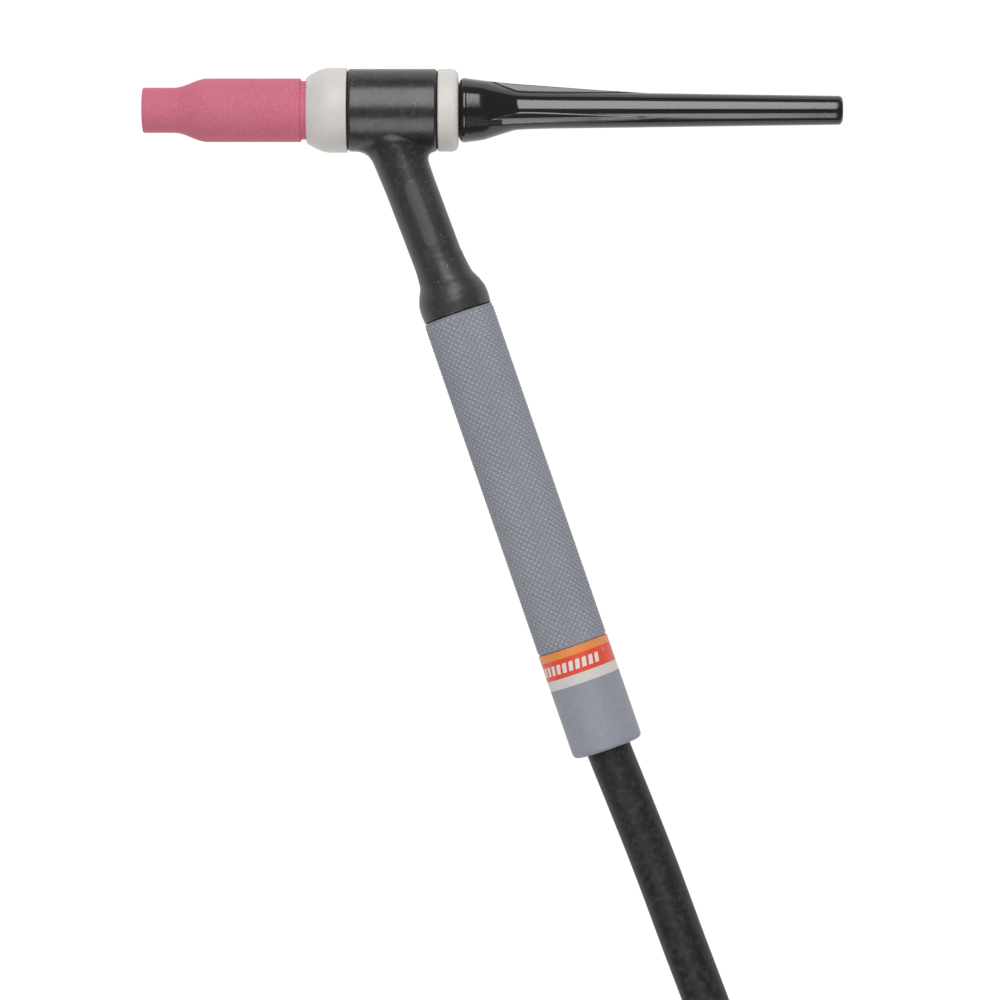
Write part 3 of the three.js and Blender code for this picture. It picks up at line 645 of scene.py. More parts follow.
def make_cable():
    turns = [coil_point(turn) for turn in range(0, COIL_END_TURN + 1, 10)]
    line, length = smooth_line([*CABLE_LEAD, *turns, *CABLE_TAIL], 3.0)
    piece = closed_tube("power_cable_sheath", line, CABLE_R, sheath, around=28)
    belongs(piece, "torch", "cable_rubber", "power_cable", "cable_coil", "cable_end")
    return piece, line, length


def make_ties():
    """Each tie goes once round the bundle of turns and closes on itself, stitched on top."""
    made = []
    for number, angle in enumerate(TIE_ANGLES, 1):
        outward = np.array((math.cos(math.radians(angle)), math.sin(math.radians(angle)), 0.0))
        sideways = np.array((-outward[1], outward[0], 0.0))
        centre = np.array((*COIL_CENTRE, 0.0))
        circles = []
        for turn in range(-angle % 360, COIL_END_TURN, 360):
            x, y, z = coil_point(turn)
            circles.append((float((np.array((x, y, 0)) - centre) @ outward), z))
        outline = hull_round(circles, CABLE_R + 0.35 + TIE_THICKNESS / 2)
        line = np.array([centre + r * outward + (0, 0, z) for r, z in outline])
        made.append(strap_loop(f"coil_strap_{number}", line, sideways))
        belongs(made[-1], "torch", "strap_fabric", f"coil_tie_{number}")
        seam = stitches(f"coil_strap_stitches_{number}", line, sideways)
        belongs(seam, "torch", "strap_fabric")
        made.append(seam)
    return made


def hull_round(circles, radius):
    """The rounded outline that a taut band takes round some equal circles, evenly spaced."""
    angles = np.linspace(0, TAU, 240, endpoint=False)
    centres = np.array(circles)
    outward = np.stack([np.cos(angles), np.sin(angles)], axis=1)
    raw = centres[np.argmax(outward @ centres.T, axis=1)] + radius * outward
    raw = np.vstack([raw, raw[:1]])
    reach = np.r_[0, np.cumsum(np.linalg.norm(np.diff(raw, axis=0), axis=1))]
    even = np.linspace(0, reach[-1], 180, endpoint=False)
    line = np.stack([np.interp(even, reach, raw[:, k]) for k in range(2)], axis=1)
    line[:, 1] = np.maximum(line[:, 1], TIE_THICKNESS / 2 + 0.1)
    return line


def strap_loop(name, line, sideways):
    """A flat strap round a closed line, with rounded edges and a slight wave."""
    half, thick = TIE_WIDTH / 2, TIE_THICKNESS / 2
    section = [(-half, 0), (-half + 0.3, thick), (0, thick), (half - 0.3, thick), (half, 0),
               (half - 0.3, -thick), (0, -thick), (-half + 0.3, -thick)]
    ahead = np.roll(line, -1, axis=0) - np.roll(line, 1, axis=0)
    ahead /= np.linalg.norm(ahead, axis=1)[:, None]
    out = np.cross(sideways, ahead)
    wave = 0.12 * np.sin(np.arange(len(line)) * TAU * 5 / len(line))
    loops = [p + np.array([(across + w) * sideways + height * o for across, height in section])
             for p, o, w in zip(line, out, wave)]
    faces, uvs = skin(loops, range(len(section)), closed=True)
    around_mm = float(np.linalg.norm(np.roll(line, -1, axis=0) - line, axis=1).sum())
    mm_uvs = [(v * around_mm, u * 2 * TIE_WIDTH) for u, v in uvs]
    return put_mesh(name, np.concatenate(loops), faces, strap, mm_uvs, smooth=50)


def geometry_tree(name, inputs):
    """A Geometry Nodes tree with named inputs: short calls for it, and the values given to it."""
    tree = bpy.data.node_groups.new(name, "GeometryNodeTree")
    for way in ("INPUT", "OUTPUT"):
        tree.interface.new_socket("Geometry", in_out=way, socket_type="NodeSocketGeometry")
    for label, kind, value in inputs:
        socket = tree.interface.new_socket(label, in_out="INPUT", socket_type=f"NodeSocket{kind}")
        if value is not None:
            socket.default_value = value
    return Nodes(tree), tree.nodes.new("NodeGroupInput").outputs


def finished_tree(g, geometry, finish):
    """Makes plain geometry of what a tree has made, paints it and gives it out."""
    real = g.node("GeometryNodeRealizeInstances", Geometry=geometry)
    painted = g.node("GeometryNodeSetMaterial", Geometry=real.outputs["Geometry"], Material=finish)
    g.node("NodeGroupOutput", Geometry=painted.outputs["Geometry"])
    return g.tree


def keep_result(piece, modifier):
    """A piece's mesh becomes what its modifier makes of it, and the modifier goes."""
    bpy.context.view_layer.update()
    depsgraph = bpy.context.evaluated_depsgraph_get()
    mesh = bpy.data.meshes.new_from_object(piece.evaluated_get(depsgraph))
    piece.modifiers.remove(modifier)
    piece.data = mesh


def applied(piece, tree, values):
    """Runs a tree on a piece, with values for its named inputs."""
    modifier = piece.modifiers.new(tree.name, "NODES")
    modifier.node_group = tree
    named = {i.name: i.identifier for i in tree.interface.items_tree if i.in_out == "INPUT"}
    for name, value in values.items():
        modifier[named[name]] = value
    keep_result(piece, modifier)


def cut_crosswise(piece, station, add_tool, stretch=Matrix.Identity(4)):
    """Cuts a tool's shape out of a piece twice, across the torch axis and a quarter turn apart."""
    for angle in (0, 90):
        add_tool()
        tool = bpy.context.object
        turn = Matrix.Rotation(math.radians(angle), 4, "X")
        centre = Vector((TORCH.origin + station * TORCH.along) * MM)
        tool.data.transform(Matrix.Translation(centre) @ turn @ stretch)
        cut = piece.modifiers.new("cut", "BOOLEAN")
        cut.operation, cut.solver, cut.object = "DIFFERENCE", "EXACT", tool
        keep_result(piece, cut)
        bpy.data.objects.remove(tool)
    piece.data.set_sharp_from_angle(angle=math.radians(30))


def stitch_tree():
    """Places a short capsule of yarn on each point of the input, turned along its Tangent."""
    g, value = geometry_tree("stitch_row", [
        ("Stitch Length", "Float", 1.6 * MM), ("Yarn Radius", "Float", 0.22 * MM),
        ("Yarn", "Material", None)])
    capsule = g.node("GeometryNodeMeshUVSphere", Segments=8, Rings=6, Radius=1.0)
    size = g.node("ShaderNodeCombineXYZ", X=value["Stitch Length"], Y=value["Yarn Radius"],
                  Z=value["Yarn Radius"])
    tangent = g.node("GeometryNodeInputNamedAttribute", {"data_type": "FLOAT_VECTOR"},
                     Name="Tangent")
    turn = g.node("FunctionNodeAlignRotationToVector", {"axis": "X"},
                  Vector=tangent.outputs["Attribute"])
    placed = g.node("GeometryNodeInstanceOnPoints", Points=value["Geometry"],
                    Instance=capsule.outputs["Mesh"], Rotation=turn.outputs["Rotation"],
                    Scale=size.outputs["Vector"])
    return finished_tree(g, placed.outputs["Instances"], value["Yarn"])


def stitches(name, line, sideways):
    """Two rows of stitches across the strap, on the top of the bundle."""
    top = int(np.median(np.argsort(-line[:, 2])[:60]))
    rows = [line[(top + offset) % len(line)] for offset in (-3, 3)]
    points = [here + across * sideways + (0, 0, TIE_THICKNESS / 2 + 0.04)
              for here in rows for across in np.arange(-6.3, 6.4, 2.1)]
    mesh = bpy.data.meshes.new(name)
    mesh.from_pydata((np.array(points) * MM).tolist(), [], [])
    layer = mesh.attributes.new("Tangent", "FLOAT_VECTOR", "POINT")
    layer.data.foreach_set("vector", np.tile(sideways, len(points)).astype(np.float32))
    piece = put_object(name, mesh)
    values = {"Stitch Length": 0.85 * MM, "Yarn Radius": 0.24 * MM, "Yarn": yarn}
    applied(piece, stitch_tree(), values)
    piece.data.shade_smooth()
    return piece


cable, cable_line, cable_length = make_cable()
ties = make_ties()

# ---- nozzle end ----------------------------------------------------------------------------


def make_nozzle():
    """The straight parts that only steer a rounding are left out of the outline again."""
    lip = 6
    outline = rounded((NOZZLE_BORE_R, 0, 0.5), (NOZZLE_TIP_R, 0, 0.6), (NOZZLE_TIP_R, lip),
                      (NOZZLE_BORE_R, lip))[:-2]
    outline += swell(NOZZLE_TIP_R, NOZZLE_FLARE_START - 0.6, NOZZLE_R, NOZZLE_FLARE_END + 0.6, 26)
    body = 30
    outline += rounded((NOZZLE_R, body), (NOZZLE_R, NOZZLE_COLLAR_START, 0.6),
                       (NOZZLE_COLLAR_R, NOZZLE_COLLAR_START, 0.15),
                       (NOZZLE_COLLAR_R, NOZZLE_END, 0.5), (NOZZLE_CHAMBER_R, NOZZLE_END, 0.4),
                       (NOZZLE_CHAMBER_R, body))[1:-1]
    outline += [(NOZZLE_CHAMBER_R, NOZZLE_FLARE_END + 2), (NOZZLE_BORE_R, NOZZLE_FLARE_START + 1.5)]
    piece = turned("alumina_nozzle", TORCH, outline, pink, even_angles(128))
    belongs(piece, "nozzle", "alumina", "ceramic_nozzle")


def make_front_insulator():
    """A gasket that bulges from its front face to the barrel, open at the back for the core."""
    inner_r, face, start = NOZZLE_COLLAR_R + GAP, GASKET_FACE_R, GASKET_START
    seat_r, seat = CORE_R + GAP, CORE_START - GAP
    outline = [(inner_r, start + 0.25), (inner_r + 0.25, start), (face - 0.7, start),
               (face - 0.3, start + 0.1), (face + 0.05, start + 0.5)]
    for t in np.linspace(0, 1, 22)[1:]:
        bulge = (GASKET_R - face) * math.sin(t * math.pi / 2) ** 0.92
        outline.append((face + bulge + 0.05 * (1 - t), start + 0.7 + t * 6.6))
    outline += [(GASKET_R, GASKET_END - 0.35), (GASKET_R - 0.1, GASKET_END - 0.1),
                (GASKET_R - 0.35, GASKET_END), (seat_r, GASKET_END), (seat_r, seat),
                (NOZZLE_CHAMBER_R, seat), (NOZZLE_CHAMBER_R, GASKET_FLOOR), (inner_r, GASKET_FLOOR)]
    piece = turned("front_insulator_ring", TORCH, outline, white, even_angles(128))
    belongs(piece, "gasket", "fluoropolymer", "front_insulator")


def make_rear_insulator():
    web_r, edge = 7.3, 3.1
    outline = rounded(
        (CORE_R + GAP, RING_START), (BARREL_R - 0.05, RING_START, 0.5),
        (BARREL_R, RING_START + 1.2), (BARREL_R + 0.02, RING_END, edge), (web_r, RING_END, 0.3),
        (web_r, CORE_END + GAP), (CORE_R + GAP, CORE_END + GAP), steps=12)
    piece = turned("rear_insulator_ring", TORCH, outline, white, even_angles(128))
    belongs(piece, "torch", "fluoropolymer", "rear_insulator")


def make_collet_body():
    """A turned body with a real screw thread for the nozzle, and four gas ports."""
    start, end = NOZZLE_END - 19.2, CORE_START - GAP
    tip, bore_r, socket_r, stem_r, root_r, crest_r, shank_r = 11.0, 1.6, 2.8, 4.4, 5.35, 6.2, 4.8
    ports, port_r, port_reach = 24.0, 1.2, 12
    angles = even_angles(96)
    outline = [(bore_r, tip + 0.3), (bore_r + 0.3, tip), (2.7, tip), (3.0, tip + 0.3),
               (stem_r, tip + 3), (stem_r, start - 1.6), (root_r, start - 0.4)]
    outline += thread(root_r, crest_r, NOZZLE_THREAD_PITCH, start, end - 1.2, angles)
    outline += [(crest_r, end - 1.0), (crest_r, end - 0.2), (crest_r - 0.2, end), (shank_r, end),
                (shank_r, end + 8.7), (shank_r - 0.2, end + 9), (socket_r, end + 9),
                (socket_r, 18.0), (2.2, 14.0), (bore_r, 13.7)]
    piece = turned("collet_body_screw", TORCH, outline, copper, angles)
    cut_crosswise(piece, ports, lambda: bpy.ops.mesh.primitive_cylinder_add(
        vertices=20, radius=port_r * MM, depth=port_reach * MM))
    belongs(piece, "torch", "copper", "collet_body")


def make_electrode():
    point, radius, length = 6.0, 1.2, 175.0
    end = point + length
    outline = [(0.0, point), (0.12, point + 0.02), (radius, point + 4.6), (radius, point + 5.2),
               (radius, end - 0.2), (radius - 0.2, end), (0.0, end)]
    piece = turned("tungsten_rod", TORCH, outline, tungsten, even_angles(40), closed=False)
    belongs(piece, "electrode", "tungsten", "tungsten_electrode")


def make_collet():
    """A split copper sleeve: four fingers with a coned nose."""
    nose_r, bore_r, outer_r = 1.9, 1.5, 2.5
    front, length, slit_end, slit_width = 14.3, 52.0, 34.3, 0.5
    end = front + length
    outline = [(bore_r, front + 0.1), (nose_r, front), (outer_r, front + 3.7), (outer_r, end - 0.2),
               (outer_r - 0.2, end), (bore_r, end)]
    piece = turned("split_collet", TORCH, outline, copper, even_angles(64))
    blade = Matrix.Diagonal((2 * (slit_end - front) * MM, slit_width * MM, 12 * MM, 1))
    cut_crosswise(piece, front, lambda: bpy.ops.mesh.primitive_cube_add(size=1), blade)
    belongs(piece, "collet", "copper", "collet")


# ---- back cap ------------------------------------------------------------------------------


# Distances from the cap's front, and the radius or half width there.
CAP_CREST = (0, 1.4, 12.8, 18.2, 42.2, 60.8, 113.6), (9.75, 9.68, 8.22, 7.8, 6.0, 4.9, 2.6)
CAP_CORE = (0, 15.5, 17.5, 21.2, 28.7, 61.7, 113.6), (6.1, 6.0, 5.88, 5.66, 5.48, 5.1, 4.4)
CAP_CREST_HALF = (0, 15, 42, 57, 62), (1.2, 1.15, 0.72, 0.3, 0.15)
CAP_SCOOP = ((0, 3.6, 4.6, 6.0, 7.8, 10.3, 12.9, 15.2, 16.9, 18.2, 30),
             (12, 10.2, 9.62, 9.25, 8.75, 7.95, 7.12, 6.4, 5.8, 5.2, 0))


def cap_radius(s, angles):
    """The cap's outer radius at a distance from its front: a coned base, three flats with a
    round core between them, and the fins that the flats leave."""
    ones = np.ones_like(angles)
    crest = np.interp(s, *CAP_CREST)
    core = np.interp(s, *CAP_CORE)
    crest_half = np.interp(s, *CAP_CREST_HALF)
    fins = np.radians(FIN_ANGLES)[:, None]
    away = np.abs((angles[None, :] - fins + math.pi) % TAU - math.pi).min(axis=0)
    slope = math.tan(math.radians(FIN_WEDGE))
    edge = crest_half + math.sqrt(crest ** 2 - crest_half ** 2) * slope
    flank = edge / (np.sin(away) + np.cos(away) * slope)
    scoop = np.interp(s - 1.2 * (1 - away / (math.pi / 3)) ** 2, *CAP_SCOOP)
    floor = soft_max(soft_max(flank, scoop * ones, 0.3), core * ones, 0.4)
    return soft_min(floor, max(crest, core) * ones, 0.2)


def make_back_cap():
    """Its columns are closest on the fins, and its loops where the flats run out of the base."""
    fine = []
    for fin in FIN_ANGLES:
        for away in (*np.linspace(0, 20, 34), *np.linspace(20.6, 60, 50)):
            fine += [fin + away, fin - away]
    angles = np.radians(np.unique(np.round(np.mod(fine, 360), 3)))
    front, end = CAP_START, CAP_END
    base_edge, tip_edge, lip = 1.5, 1.3, 0.24
    outline = [(0.0, end - CAP_TIP_WALL), (CAP_BORE_R, end - CAP_TIP_WALL),
               (CAP_BORE_R, front + CAP_SOCKET_LENGTH), (CAP_SOCKET_R, front + CAP_SOCKET_LENGTH),
               (CAP_SOCKET_R, front + 0.4), (CAP_SOCKET_R + 0.4, front), (7.5, front),
               (7.5, front - lip), (8.1, front - lip), (8.15, front)]
    corner = np.linspace(0, math.pi / 2, 8)
    outline += [(CAP_BASE_R - base_edge + base_edge * math.sin(t),
                 front + base_edge - base_edge * math.cos(t)) for t in corner]
    outline += [(cap_radius(s, angles), front + s)
                for s in (*np.linspace(1.8, 4.2, 6), *np.linspace(4.4, 18.4, 84),
                          *np.linspace(19, 62.5, 64), *np.linspace(64, 112.4, 14))]
    tip_r = float(cap_radius(CAP_LENGTH - 2.5, angles)[0])
    outline += [(tip_r - tip_edge + tip_edge * math.cos(t), end - tip_edge + tip_edge * math.sin(t))
                for t in corner]
    outline += [(1.6, end), (1.3, end - 0.25), (0.0, end - 0.25)]
    piece = turned("finned_back_cap", TORCH, outline, phenolic, angles, closed=False, smooth=38)
    belongs(piece, "cap", "phenolic", "back_cap")


def make_cap_insert():
    """The brass insert that carries the cap's screw thread."""
    nose_r, bore_r, root_r, crest_r, wide_bore_r = 3.9, 1.9, 5.6, 6.4, 4.7
    front, start, end, step = 66.6, 80.05, 90.55, CAP_START + 11
    angles = even_angles(96)
    outline = [(bore_r, front + 0.2), (bore_r + 0.2, front), (nose_r - 0.3, front),
               (nose_r, front + 0.3), (nose_r, start - 1.2), (root_r, start - 0.3)]
    outline += thread(root_r, crest_r, CAP_THREAD_PITCH, start, end - 0.4, angles)
    outline += [(root_r, end), (wide_bore_r, end), (wide_bore_r, step), (bore_r, step)]
    piece = turned("cap_thread_insert", TORCH, outline, brass, angles)
    belongs(piece, "cap", "brass", "cap_insert")


def make_cap_seal():
    centre_r, section, station = 6.0, 1.0, CAP_START - 1.3
    outline = [(centre_r + section * math.cos(t), station + section * math.sin(t))
               for t in even_angles(16)]
    piece = turned("cap_o_ring", TORCH, outline, rubber, even_angles(72))
    belongs(piece, "cap", "seal_rubber", "cap_seal")


# ---- head: one moulded form, found as the zero surface of a distance field -------------------


def round_body(points, axis, stations, radii):
    """Distance to a body of revolution whose radius follows the stations, with flat ends."""
    side, along, up = axis.local(points)
    outer = np.sqrt(side ** 2 + up ** 2) - np.interp(along, stations, radii)
    ends = np.maximum(stations[0] - along, along - stations[-1])
    return np.maximum(outer, ends)


def rounded_rod(points, axis, radius, start, end, edge):
    """Distance to a cylinder with rounded rims."""
    side, along, up = axis.local(points)
    out = np.sqrt(side ** 2 + up ** 2) - radius + edge
    over = np.abs(along - (start + end) / 2) - (end - start) / 2 + edge
    rim = np.hypot(np.maximum(out, 0), np.maximum(over, 0))
    return np.minimum(np.maximum(out, over), 0) + rim - edge


def smooth_union(a, b, width):
    share = np.clip(0.5 + 0.5 * (b - a) / width, 0, 1)
    return b + (a - b) * share - width * share * (1 - share)


def dense(pairs):
    """Smooths a list of (station, radius) pairs into closely spaced stations."""
    stations, radii = zip(*pairs)
    fine = np.linspace(stations[0], stations[-1], 120)
    rough = np.interp(fine, stations, radii)
    kernel = np.hanning(11)
    padded = np.pad(rough, 5, mode="edge")
    return fine, np.convolve(padded, kernel / kernel.sum(), mode="valid")


NECK_OUTLINE = dense(((0, 8.6), (9, 8.4), (15, 7.95), (24, 7.62), (50, 7.5), (61, 7.5)))
FOOT_OUTLINE = dense(((-17, 6.6), (-13.4, 7.5), (-11.2, 8.0), (-8.8, 9.35), (-6.2, 10.35),
                      (-3.6, 10.62), (-GAP, 10.4)))


def head_field(points):
    """Distance to the head: barrel, neck and foot run into each other, and the core, the tube
    and the handle have their room. The blend is wide at the neck's sides and narrow on its top."""
    barrel = rounded_rod(points, TORCH, BARREL_R, BARREL_START, BARREL_END, 0.75)
    neck = round_body(points, NECK, *NECK_OUTLINE)
    foot = round_body(points, HANDLE, *FOOT_OUTLINE)
    neck_side, neck_along, neck_up = NECK.local(points)
    form = smooth_union(barrel, neck, 3.6 - 2.5 * ease((np.abs(neck_up) - 2.5) / 4))
    form = smooth_union(form, foot, 1.6)
    form = np.minimum(form, rounded_rod(points, HANDLE, SPIGOT_R, -6, SPIGOT_LENGTH, 0.5))
    side, along, up = TORCH.local(points)
    from_axis = np.hypot(side, up)
    ends = np.maximum(BARREL_START - along, along - BARREL_END)
    form = np.where(from_axis < BARREL_R + 0.5, np.maximum(form, ends), form)
    lip = 0.24
    form = np.minimum(form, rounded_rod(points, TORCH, BARREL_R - 0.7, BARREL_START - lip,
                                        BARREL_END + lip, 0.1))
    bore = CORE_R + GAP - from_axis
    tunnel = np.minimum(TUBE_R + GAP - np.hypot(neck_side, neck_up),
                        np.minimum(neck_along, NECK_LENGTH + 1 - neck_along))
    side, along, up = HANDLE.local(points)
    lower = np.minimum(TUBE_R + GAP - np.hypot(side, up), along + 1)
    return np.maximum(np.maximum(form, bore), np.maximum(tunnel, lower))


def surface_nets(field, low, step):
    """Vertices and quads of a field's zero surface on a regular grid."""
    inside = field < 0
    shape = np.array(field.shape) - 1
    total = np.zeros([*shape, 3])
    count = np.zeros(shape)
    corners = [(i, j, k) for i in (0, 1) for j in (0, 1) for k in (0, 1)]
    for a in corners:
        for b in corners:
            if sum(y - x for x, y in zip(a, b)) != 1 or any(y < x for x, y in zip(a, b)):
                continue
            first, second = (field[tuple(slice(i, i + n) for i, n in zip(corner, shape))]
                             for corner in (a, b))
            crosses = (first < 0) != (second < 0)
            share = np.where(crosses, first / np.where(crosses, first - second, 1), 0)
            spot = np.array(a) + share[..., None] * (np.array(b) - np.array(a))
            total += np.where(crosses[..., None], spot, 0)
            count += crosses
    used = count > 0
    number = np.full(used.shape, -1)
    number[used] = np.arange(used.sum())
    points = low + (np.argwhere(used) + total[used] / count[used][:, None]) * step
    quads = []
    for axis in range(3):
        b, c = (axis + 1) % 3, (axis + 2) % 3
        change = inside != np.roll(inside, -1, axis=axis)
        layers = [(axis, slice(-1, None))]
        layers += [(k, part) for k in (b, c) for part in (slice(0, 1), slice(-1, None))]
        for k, part in layers:
            change[tuple(part if m == k else slice(None) for m in range(3))] = False
        at = np.argwhere(change)
        back_b, back_c = np.eye(3, dtype=int)[b], np.eye(3, dtype=int)[c]
        around = [at, at - back_b, at - back_b - back_c, at - back_c]
        quads.append(np.stack([number[tuple(p.T)] for p in around], axis=1))
    return points, np.concatenate(quads)


def make_head():
    """The net's vertices are then moved on to the zero surface along the field's slope."""
    step, margin, nudge = 0.45, 1.5, 0.02
    low, high = (np.array(corner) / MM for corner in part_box("head_insulation"))
    low, high = low - margin, high + margin
    sizes = [np.arange(a, b + step, step) for a, b in zip(low, high)]
    grid = np.stack(np.meshgrid(*sizes, indexing="ij"), axis=-1)
    field = head_field(grid.reshape(-1, 3)).reshape(grid.shape[:3])
    points, quads = surface_nets(field, low, step)
    for _ in range(3):
        value = head_field(points)
        slope = np.stack([head_field(points + nudge * way) - head_field(points - nudge * way)
                          for way in np.eye(3)], axis=1) / (2 * nudge)
        square = np.maximum((slope ** 2).sum(axis=1), 0.2)
        points = points - np.clip(value / square, -step / 2, step / 2)[:, None] * slope
    piece = put_mesh("moulded_head", points, quads, rubber, smooth=52)
    belongs(piece, "torch", "head_rubber", "head_insulation")


def make_neck_pad():
    """A shallow raised pad along the top of the neck, where a maker would mould a marking."""
    station, half_length, half_width, rise, sunk = 33.8, 10.6, 2.15, 0.2, 0.5
    angles = np.linspace(0, TAU, 72, endpoint=False)
    loops = []
    for inset, height in ((0.0, -sunk), (0.0, rise - 0.12), (0.04, rise - 0.04), (0.14, rise),
                          (0.6, rise), (1.2, rise), (half_width - 0.001, rise)):
        width = half_width - inset
        across = width * np.sin(angles)
        along = station + np.sign(np.cos(angles)) * (half_length - half_width)
        along += width * np.cos(angles)
        surface = np.sqrt(np.interp(along, *NECK_OUTLINE) ** 2 - across ** 2)
        loops.append(NECK.origin + across[:, None] * NECK.side + along[:, None] * NECK.along
                     + (surface + height)[:, None] * NECK.up)
    points = np.concatenate(loops)
    faces, uvs = skin(loops, angles, closed=False)
    count = len(angles)
    faces += [tuple(range(count)), tuple(range(len(points) - count, len(points)))]
    uvs += [(0.5, 0.5)] * (2 * count)
    piece = put_mesh("neck_marking_pad", points, faces, dusty_rubber, uvs, smooth=40)
    belongs(piece, "torch", "head_rubber")


# ---- handle --------------------------------------------------------------------------------


def knurl_tree():
    """Adds a sleeve of small pyramids round the local Y axis to the rest of the handle. Each
    little square of the sleeve is cut along its groove, which is its shorter diagonal."""
    g, value = geometry_tree("diamond_knurl", [
        ("Radius", "Float", 0.01), ("Start", "Float", 0.0), ("End", "Float", 0.1),
        ("Depth", "Float", 0.0002), ("Pyramids Around", "Int", 60), ("Rows", "Int", 90),
        ("Finish", "Material", None)])
    m = g.math
    across = m("MULTIPLY", value["Pyramids Around"], 2)
    along = m("MULTIPLY", value["Rows"], 2)
    grid = g.node("GeometryNodeMeshGrid", Size_X=1.0, Size_Y=1.0,
                  Vertices_X=m("ADD", across, 1), Vertices_Y=m("ADD", along, 1))
    position = g.node("GeometryNodeInputPosition").outputs["Position"]
    place = g.node("ShaderNodeSeparateXYZ", Vector=position).outputs
    u, v = m("ADD", place["X"], 0.5), m("ADD", place["Y"], 0.5)
    column, row = m("ROUND", m("MULTIPLY", u, across)), m("ROUND", m("MULTIPLY", v, along))
    raised = m("PINGPONG", m("ADD", column, row), 1)
    from_end = m("MINIMUM", row, m("SUBTRACT", along, row))
    height = m("MULTIPLY", raised, m("GREATER_THAN", from_end, 0.5))
    lowered = m("MULTIPLY", m("SUBTRACT", 1, height), value["Depth"])
    radius = m("SUBTRACT", value["Radius"], lowered)
    x, z = (m("MULTIPLY", radius, m(wave, m("MULTIPLY", u, TAU))) for wave in ("SINE", "COSINE"))
    y = m("MULTIPLY_ADD", v, m("SUBTRACT", value["End"], value["Start"]), value["Start"])
    rolled = g.node("ShaderNodeCombineXYZ", X=m("MULTIPLY", x, -1), Y=y, Z=z)
    sleeve = g.node("GeometryNodeSetPosition", Geometry=grid.outputs["Mesh"],
                    Position=rolled.outputs["Vector"])
    cut = g.node("GeometryNodeTriangulate", {"quad_method": "SHORTEST_DIAGONAL"},
                 Mesh=sleeve.outputs["Geometry"])
    joined = g.node("GeometryNodeJoinGeometry", Geometry=cut.outputs["Mesh"])
    g.put(joined.inputs["Geometry"], value["Geometry"])
    merged = g.node("GeometryNodeMergeByDistance", Geometry=joined.outputs["Geometry"],
                    Distance=2e-6)
    return finished_tree(g, merged.outputs["Geometry"], value["Finish"])


def make_handle():
    """A knurled grip with a smooth lower end; its bore takes the neck's spigot and the fittings.
    It is made along the local Y axis and then put in its place."""
    knurl_end = BAND_STATION - GAP
    band_end = BAND_STATION + BAND_LENGTH + GAP
    wall = HANDLE_LENGTH - HANDLE_END_WALL
    groove_r, seat_r = HANDLE_R - KNURL_DEPTH, HANDLE_R - 0.6
    outline = [(groove_r, knurl_end), (seat_r, knurl_end), (seat_r, band_end)]
    outline += rounded((HANDLE_R, band_end, 0.25), (HANDLE_R, HANDLE_LENGTH, 2.0),
                       (CABLE_HOLE_R, HANDLE_LENGTH, 0.4), (CABLE_HOLE_R, wall),
                       (HANDLE_BORE_R, wall - 1.3), (HANDLE_BORE_R, 0, 0.3),
                       (HANDLE_R - 0.12, 0, 0.1), steps=7)
    outline += [(groove_r, KNURL_START)]
    piece = turned("knurled_handle", Axis((0, 0, 0), (0, 1, 0)), outline, grey,
                   -even_angles(2 * KNURL_AROUND), closed=False)
    values = {"Radius": HANDLE_R * MM, "Start": KNURL_START * MM, "End": knurl_end * MM,
              "Depth": KNURL_DEPTH * MM, "Pyramids Around": KNURL_AROUND, "Rows": KNURL_ROWS,
              "Finish": grey}
    applied(piece, knurl_tree(), values)
    piece.data.transform(HANDLE.matrix())
    form = bmesh.new()
    form.from_mesh(piece.data)
    bmesh.ops.recalc_face_normals(form, faces=form.faces)
    form.to_mesh(piece.data)
    form.free()
    piece.data.set_sharp_from_angle(angle=math.radians(20))
    belongs(piece, "torch", "handle_plastic", "handle")


def make_band():
    """On the printed face V runs from 0 to 1; each hidden face has one V all over."""
    around, rows = 144, 12
    angles = even_angles(around)
    stations = np.linspace(BAND_STATION, BAND_STATION + BAND_LENGTH, rows)
    outline = [(HANDLE_R, s) for s in stations]
    outline += [(HANDLE_R - 0.3, s) for s in (stations[-1], stations[0])]
    loops = [HANDLE.points(r * np.ones(around), s, angles) for r, s in outline]
    faces, uvs = skin(loops[:rows], angles, closed=False)
    edges = [row * around for row in (rows - 1, rows, rows + 1, 0)]
    for j in range(around):
        k = (j + 1) % around
        for here, after, v in zip(edges, edges[1:], (1.0, 0.5, 0.0)):
            faces.append((here + j, here + k, after + k, after + j))
            uvs += [(j / around, v)] * 4
    piece = put_mesh("printed_band", np.concatenate(loops), faces, stripes, uvs, smooth=40)
    belongs(piece, "torch", "band_print", "label_band")


# ---- fitting on the cable's far end ----------------------------------------------------------

machine_mount = frame["record"]["mounts"][0]
fitting_start = np.array(machine_mount["pos_m"]) / MM
fitting_start[2] = middle("machine_nut")[2]
FITTING = Axis(fitting_start, -np.array(machine_mount["axis"]))
NUT_FLATS, NUT_LENGTH, NUT_BORE_R, NUT_WEB, NUT_HOLE_R = 19, 20, 7.9, 4.5, 4.5


